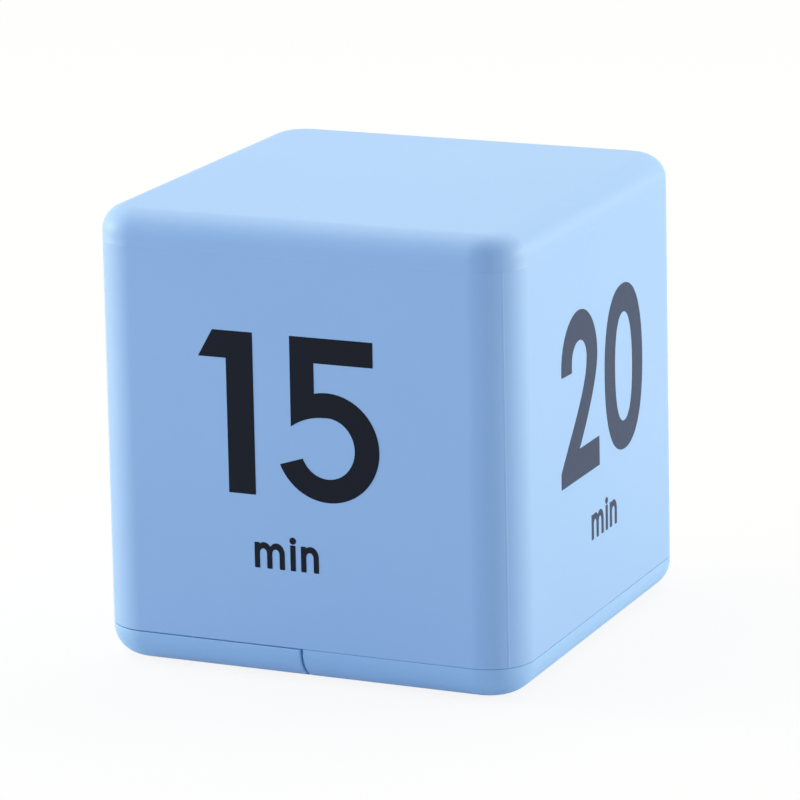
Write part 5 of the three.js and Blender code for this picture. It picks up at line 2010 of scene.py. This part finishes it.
@dataclass
class BoardParts:
    """What else is soldered to the board: the potted chip, capacitor, crystal, resistors and leads."""

    wire: float = 0.5
    slack: float = 2.0
    tab_out: float = 0.3
    tab_rise: float = 1.0
    pad_dip: float = 0.3
    joint: Spot = (1.1, 0.6)
    neck: float = 1.4
    neck_depth: float = 0.3
    sleeve_lap: float = 0.6
    lid_depth: float = 0.12
    crystal_length: float = 6.0
    crystal_foot: Spot = (0.5, 0.15)
    crystal_pin: float = 0.25
    crystal_pin_gap: float = 0.6
    resistor_end: float = 0.27
    resistor_lap: float = 0.02
    swell: tuple[float, float, float] = (-0.02, 0.012, 0.008)
    swell_turns: Spot = (0.6, 2.1)
    chip_slope: float = 1.53
    chip_crisp: float = math.radians(60)

    def potted_chip(self) -> Mesh:
        """A drop of resin: a low dome whose rim swells and shrinks a little round it.

        The radius at the angle t and the slope s is R cos s (1 + w(t)), and the height is the rise times
        sin s. The swell w is a constant and a wave of two and one of three periods.

        Returns:
            The mesh.
        """
        box = Box.of("chip_blob")
        turn = np.linspace(0, 2 * math.pi, 48, endpoint=False)[None]
        slope = np.linspace(0, self.chip_slope, 16)[:, None]
        (even, two, three), (second, third) = self.swell, self.swell_turns
        swell = even + two * np.sin(2 * turn + second) + three * np.sin(3 * turn + third)
        radius = box.half[0] * np.cos(slope) * (1 + swell)
        level = np.broadcast_to((box.high[2] - box.low[2]) * np.sin(slope), radius.shape)
        points = np.stack([radius * np.cos(turn), radius * np.sin(turn), level], -1)
        return turned_to(closed_grid(points, "potted_chip"), Axis.UP, (*box.middle[:2], box.low[2]))

    def battery_lead(self, name: str, cell: str) -> Mesh:
        """A lead from a contact's tab over the battery box and down to its pad on the board.

        Args:
            name: the lead's node.
            cell: the cell whose contact it comes from.

        Returns:
            The mesh.
        """
        box, board, wire = Box.of(name), Box.of("main_board").high[2], self.wire
        x, roof = Box.of(cell).middle[0], Box.of("base_cover").high[2]
        tab_y = Box.of("negative_contact_plate").low[1] + SHEET
        start, high = roof + self.tab_rise, roof + self.slack + wire * 3
        pad_x, pad_y = box.high[:2] - wire
        return tube(smooth_route([
            (x, tab_y + self.tab_out, start), (x, tab_y + self.tab_out + wire * 3, start + wire),
            (x + (pad_x - x) / 3, tab_y + (pad_y - tab_y) * 0.4, high), (pad_x - wire * 2, pad_y, high),
            (pad_x, pad_y, (board + high) / 2), (pad_x, pad_y, board + self.pad_dip),
        ]), wire, name.replace("wire", "lead"))

    def sounder_lead(self, name: str) -> Mesh:
        """A short lead from the sounder straight up to the board, with a little slack.

        Args:
            name: the lead's node.

        Returns:
            The mesh.
        """
        box = Box.of(name)
        x, y = box.middle[0], box.low[1] + self.wire
        stops = [(x, y, box.low[2]), (x, y + self.wire, box.middle[2]), (x, y, box.high[2])]
        return tube(smooth_route(stops), self.wire, name.replace("wire", "lead"))

    def dress(self, shop: Workshop) -> None:
        """Places the parts and the leads.

        Args:
            shop: the workshop.
        """
        shop.fit(self.potted_chip(), "black_resin", "chip_blob", angle=self.chip_crisp)
        box = Box.of("capacitor")
        (wide, high), neck, slant = (box.half[0], box.high[2] - box.low[2]), self.neck, self.neck_depth
        lid, deep = wide - self.sleeve_lap, high - self.lid_depth
        sleeve = lathe([
            (CORE, 0, 0), (wide, 0, slant), (wide, neck - slant, slant / 2), (wide - slant, neck, 0.2),
            (wide, neck + slant, slant / 2), (wide, high, 0.35), (lid, high, 0.1),
            (lid - slant / 2, deep, 0.05), (CORE, deep, 0),
        ], "capacitor_can", 10, 4)
        shop.fit(turned_to(sleeve, Axis.UP, (*box.middle[:2], box.low[2])), "capacitor_sleeve", "capacitor")
        box = Box.of("crystal")
        wide, length = box.half[1], self.crystal_length
        start = box.high[0] - length
        (foot, step), edge = self.crystal_foot, 0.1
        can = lathe([(CORE, 0, 0), (wide, 0, edge), (wide, foot, edge), (wide - step, foot + 0.2, edge),
                     (wide - step, length, foot), (CORE, length, 0)], "crystal_can", 9, 5)
        pins = [disc(side * self.crystal_pin_gap, 0, self.crystal_pin, 4).prism(
            box.low[0] - start, SEAT * 2, 0.05) for side in (-1, 1)]
        crystal = turned_to(combined("crystal_can", can, pins), Axis.RIGHT, (start, *box.middle[1:]))
        shop.fit(crystal, "crystal_can", "crystal")
        lap = self.resistor_lap
        for name in ("resistor_1", "resistor_2"):
            box = Box.of(name)
            inwards = np.array([self.resistor_end - lap, lap, lap])
            body = Box(box.low + inwards, box.high - inwards).prism(0.05, 0.03)
            shop.fit(mesh_named(body, f"{name}_body"), "black_resin", name)
            step = np.array([2 * box.half[0] - self.resistor_end, 0, 0])
            ends = [Box(box.low, box.high - step), Box(box.low + step, box.high)]
            shop.fit(welded(f"{name}_ends", [end.prism(0.06, 0.04) for end in ends]), "contact_nickel", name)
        board, (wide, high) = Box.of("main_board").high[2], self.joint
        for colour, cell in (("black", "battery_1"), ("red", "battery_2")):
            name = f"{colour}_battery_wire"
            shop.fit(self.battery_lead(name, cell), f"{colour}_wire", name)
            joint = solder(*(Box.of(name).high[:2] - self.wire), board, wide=wide, high=high)
            shop.fit(mesh_named(joint, f"{colour}_battery_joint"), "contact_nickel", name)
            name = f"{colour}_sounder_wire"
            shop.fit(self.sounder_lead(name), f"{colour}_wire", name)


@dataclass(frozen=True)
class Lamp:
    """A square soft lamp: azimuth 0 is in front and 90 to the right, and elevation is in degrees too.

    Its side is in metres and its power in watts.
    """

    name: str
    azimuth: float
    elevation: float
    size: float
    power: float
    colour: str


@dataclass
class Studio:
    """The pale floor, the soft lamps, the white background and the camera."""

    azimuth: float = 23.964
    elevation: float = 14.640
    roll: float = 1.154
    distance: float = 625.432
    across: float = -0.850
    down: float = 0.0617
    lens: float = 209.33
    clip: Spot = (0.01, 20.0)
    reach: float = 3000.0
    gap: float = 0.1
    floor_lit: str = "#dfe5ee"
    floor_seen: str = "#f4f4f4"
    white_share: float = 0.88
    lamp_distance: float = 0.9
    lamp_aim: float = 0.03
    fill: tuple[str, float] = ("#deecff", 0.401)
    lamps: tuple[Lamp, ...] = (
        Lamp("left_key", -85, 9, 0.28, 3.93, "#ffe296"),
        Lamp("left_fill", -70, 18, 0.6, 2.47, "#f1f7ff"),
        Lamp("left_top", -90, 65, 0.6, 2.55, "#fff8e0"),
        Lamp("front_fill", -25, 35, 0.6, 0.88, "#00a9ff"),
        Lamp("right_key", 120, 9, 0.28, 4.33, "#fffcf2"),
        Lamp("right_back", 135, 9, 0.28, 0.97, "#ffe88b"),
        Lamp("back_top", 180, 60, 0.6, 2.91, "#fff1d7"),
    )

    def camera(self, middle: float) -> None:
        """Places the camera.

        It looks along the azimuth and elevation at the middle of the cube, is rolled about that line, and the
        cube stands a little off its axis.

        Args:
            middle: the height of the middle of the cube.
        """
        turn, rise, roll = (math.radians(v) for v in (self.azimuth, self.elevation, self.roll))
        back = Vector((math.sin(turn) * math.cos(rise), -math.cos(turn) * math.cos(rise), math.sin(rise)))
        right = Vector((math.cos(turn), math.sin(turn), 0))
        up = back.cross(right)
        across = right * math.cos(roll) - up * math.sin(roll)
        upright = right * math.sin(roll) + up * math.cos(roll)
        place = Vector((0, 0, middle)) + back * self.distance - across * self.across + upright * self.down
        camera = bpy.data.objects.new("camera", bpy.data.cameras.new("camera"))
        camera.data.lens = self.lens
        camera.data.clip_start, camera.data.clip_end = self.clip
        turned = Matrix((across, upright, back)).transposed().to_4x4()
        camera.matrix_world = Matrix.Translation(place * MM) @ turned
        bpy.context.collection.objects.link(camera)
        bpy.context.scene.camera = camera

    def lamp(self, lamp: Lamp) -> None:
        """Places a square soft lamp that looks at the cube.

        Args:
            lamp: the lamp's place, size, power and colour.
        """
        turn, rise = math.radians(lamp.azimuth), math.radians(lamp.elevation)
        back = Vector((math.sin(turn) * math.cos(rise), -math.cos(turn) * math.cos(rise), math.sin(rise)))
        light = bpy.data.lights.new(lamp.name, "AREA")
        light.shape, light.size = "SQUARE", lamp.size
        light.energy, light.color = lamp.power, linear(lamp.colour)[:3]
        stand = bpy.data.objects.new(lamp.name, light)
        place = back * self.lamp_distance + Vector((0, 0, self.lamp_aim))
        stand.matrix_world = Matrix.Translation(place) @ back.to_track_quat("Z", "Y").to_matrix().to_4x4()
        bpy.context.collection.objects.link(stand)

    def seen(self, tree: Tree) -> Socket:
        """1 for the rays of the camera, of a reflection or through something clear, and 0 for the others.

        Args:
            tree: the tree of a material or of the world.

        Returns:
            The value output.
        """
        path = node(tree, "LightPath").outputs
        either = node(tree, "Math", {0: path["Is Camera Ray"], 1: path["Is Glossy Ray"]}, operation="MAXIMUM")
        through = path["Is Transmission Ray"]
        return node(tree, "Math", {0: either.outputs[0], 1: through}, operation="MAXIMUM").outputs[0]

    def floor(self) -> None:
        """The floor: pale, and whiter where the camera sees it, so that it still shows a soft shadow."""
        corners = [(x, y, -self.gap) for x, y in ((-1, -1), (1, -1), (1, 1), (-1, 1))]
        mesh = mesh_of("floor", np.array(corners) * (self.reach, self.reach, 1), [[0, 1, 2, 3]])
        floor = bpy.data.objects.new("floor", mesh)
        bpy.context.collection.objects.link(floor)
        material = bpy.data.materials.new("pale_floor")
        material.use_nodes = True
        tree = material.node_tree
        tree.nodes.clear()
        seen = self.seen(tree)
        colour = node(tree, "Mix", {0: seen, 6: linear(self.floor_lit), 7: linear(self.floor_seen)},
                      data_type="RGBA")
        plain = node(tree, "BsdfDiffuse", {"Color": colour.outputs[2]})
        white = node(tree, "Emission", {"Color": (1, 1, 1, 1), "Strength": 1.0})
        share = node(tree, "Math", {0: seen, 1: self.white_share}, operation="MULTIPLY")
        mix = node(tree, "MixShader", {0: share.outputs[0], 1: plain.outputs[0], 2: white.outputs[0]})
        node(tree, "OutputMaterial", {"Surface": mix.outputs[0]})
        mesh.materials.append(material)

    def world(self) -> None:
        """The surroundings: white where the camera or a reflection sees them, and a dim fill for the rest."""
        world = bpy.data.worlds.new("surroundings")
        bpy.context.scene.world = world
        world.use_nodes = True
        tree = world.node_tree
        tree.nodes.clear()
        dim = node(tree, "Background", {"Color": linear(self.fill[0]), "Strength": self.fill[1]})
        white = node(tree, "Background", {"Color": (1, 1, 1, 1), "Strength": 1.0})
        mix = node(tree, "MixShader", {0: self.seen(tree), 1: dim.outputs[0], 2: white.outputs[0]})
        node(tree, "OutputWorld", {"Surface": mix.outputs[0]})

    def set_up(self, middle: float) -> None:
        """Builds the whole studio.

        Args:
            middle: the height of the middle of the cube.
        """
        bpy.context.scene.view_settings.view_transform = "Standard"
        self.camera(middle)
        self.floor()
        self.world()
        for lamp in self.lamps:
            self.lamp(lamp)


def main() -> None:
    """Builds the studio and every piece."""
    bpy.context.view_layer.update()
    shop = Workshop()
    shop.keep()
    housing = Housing()
    Studio().set_up(housing.box.high[2] / 2)
    band = Band(housing)
    door = BatteryDoor(band)
    assemblies = [
        housing, Numbers(housing), door, BaseCover(band, door), Power(),
        Screws(1.8, 1.2, 1.0, tuple(f"case_screw_{i}" for i in (1, 2, 3, 4)), Axis.UP),
        Screws(1.7, 1.1, 0.75, tuple(f"board_screw_{i}" for i in (1, 2, 3)), Axis.DOWN, pitch=0.7,
               ridge=0.12),
        Display(), Signals(), VolumeSwitch(), *(TiltSwitch(i) for i in (1, 2, 3, 4)), BoardParts(),
    ]
    for assembly in assemblies:
        assembly.dress(shop)


if __name__ == "__main__":
    main()
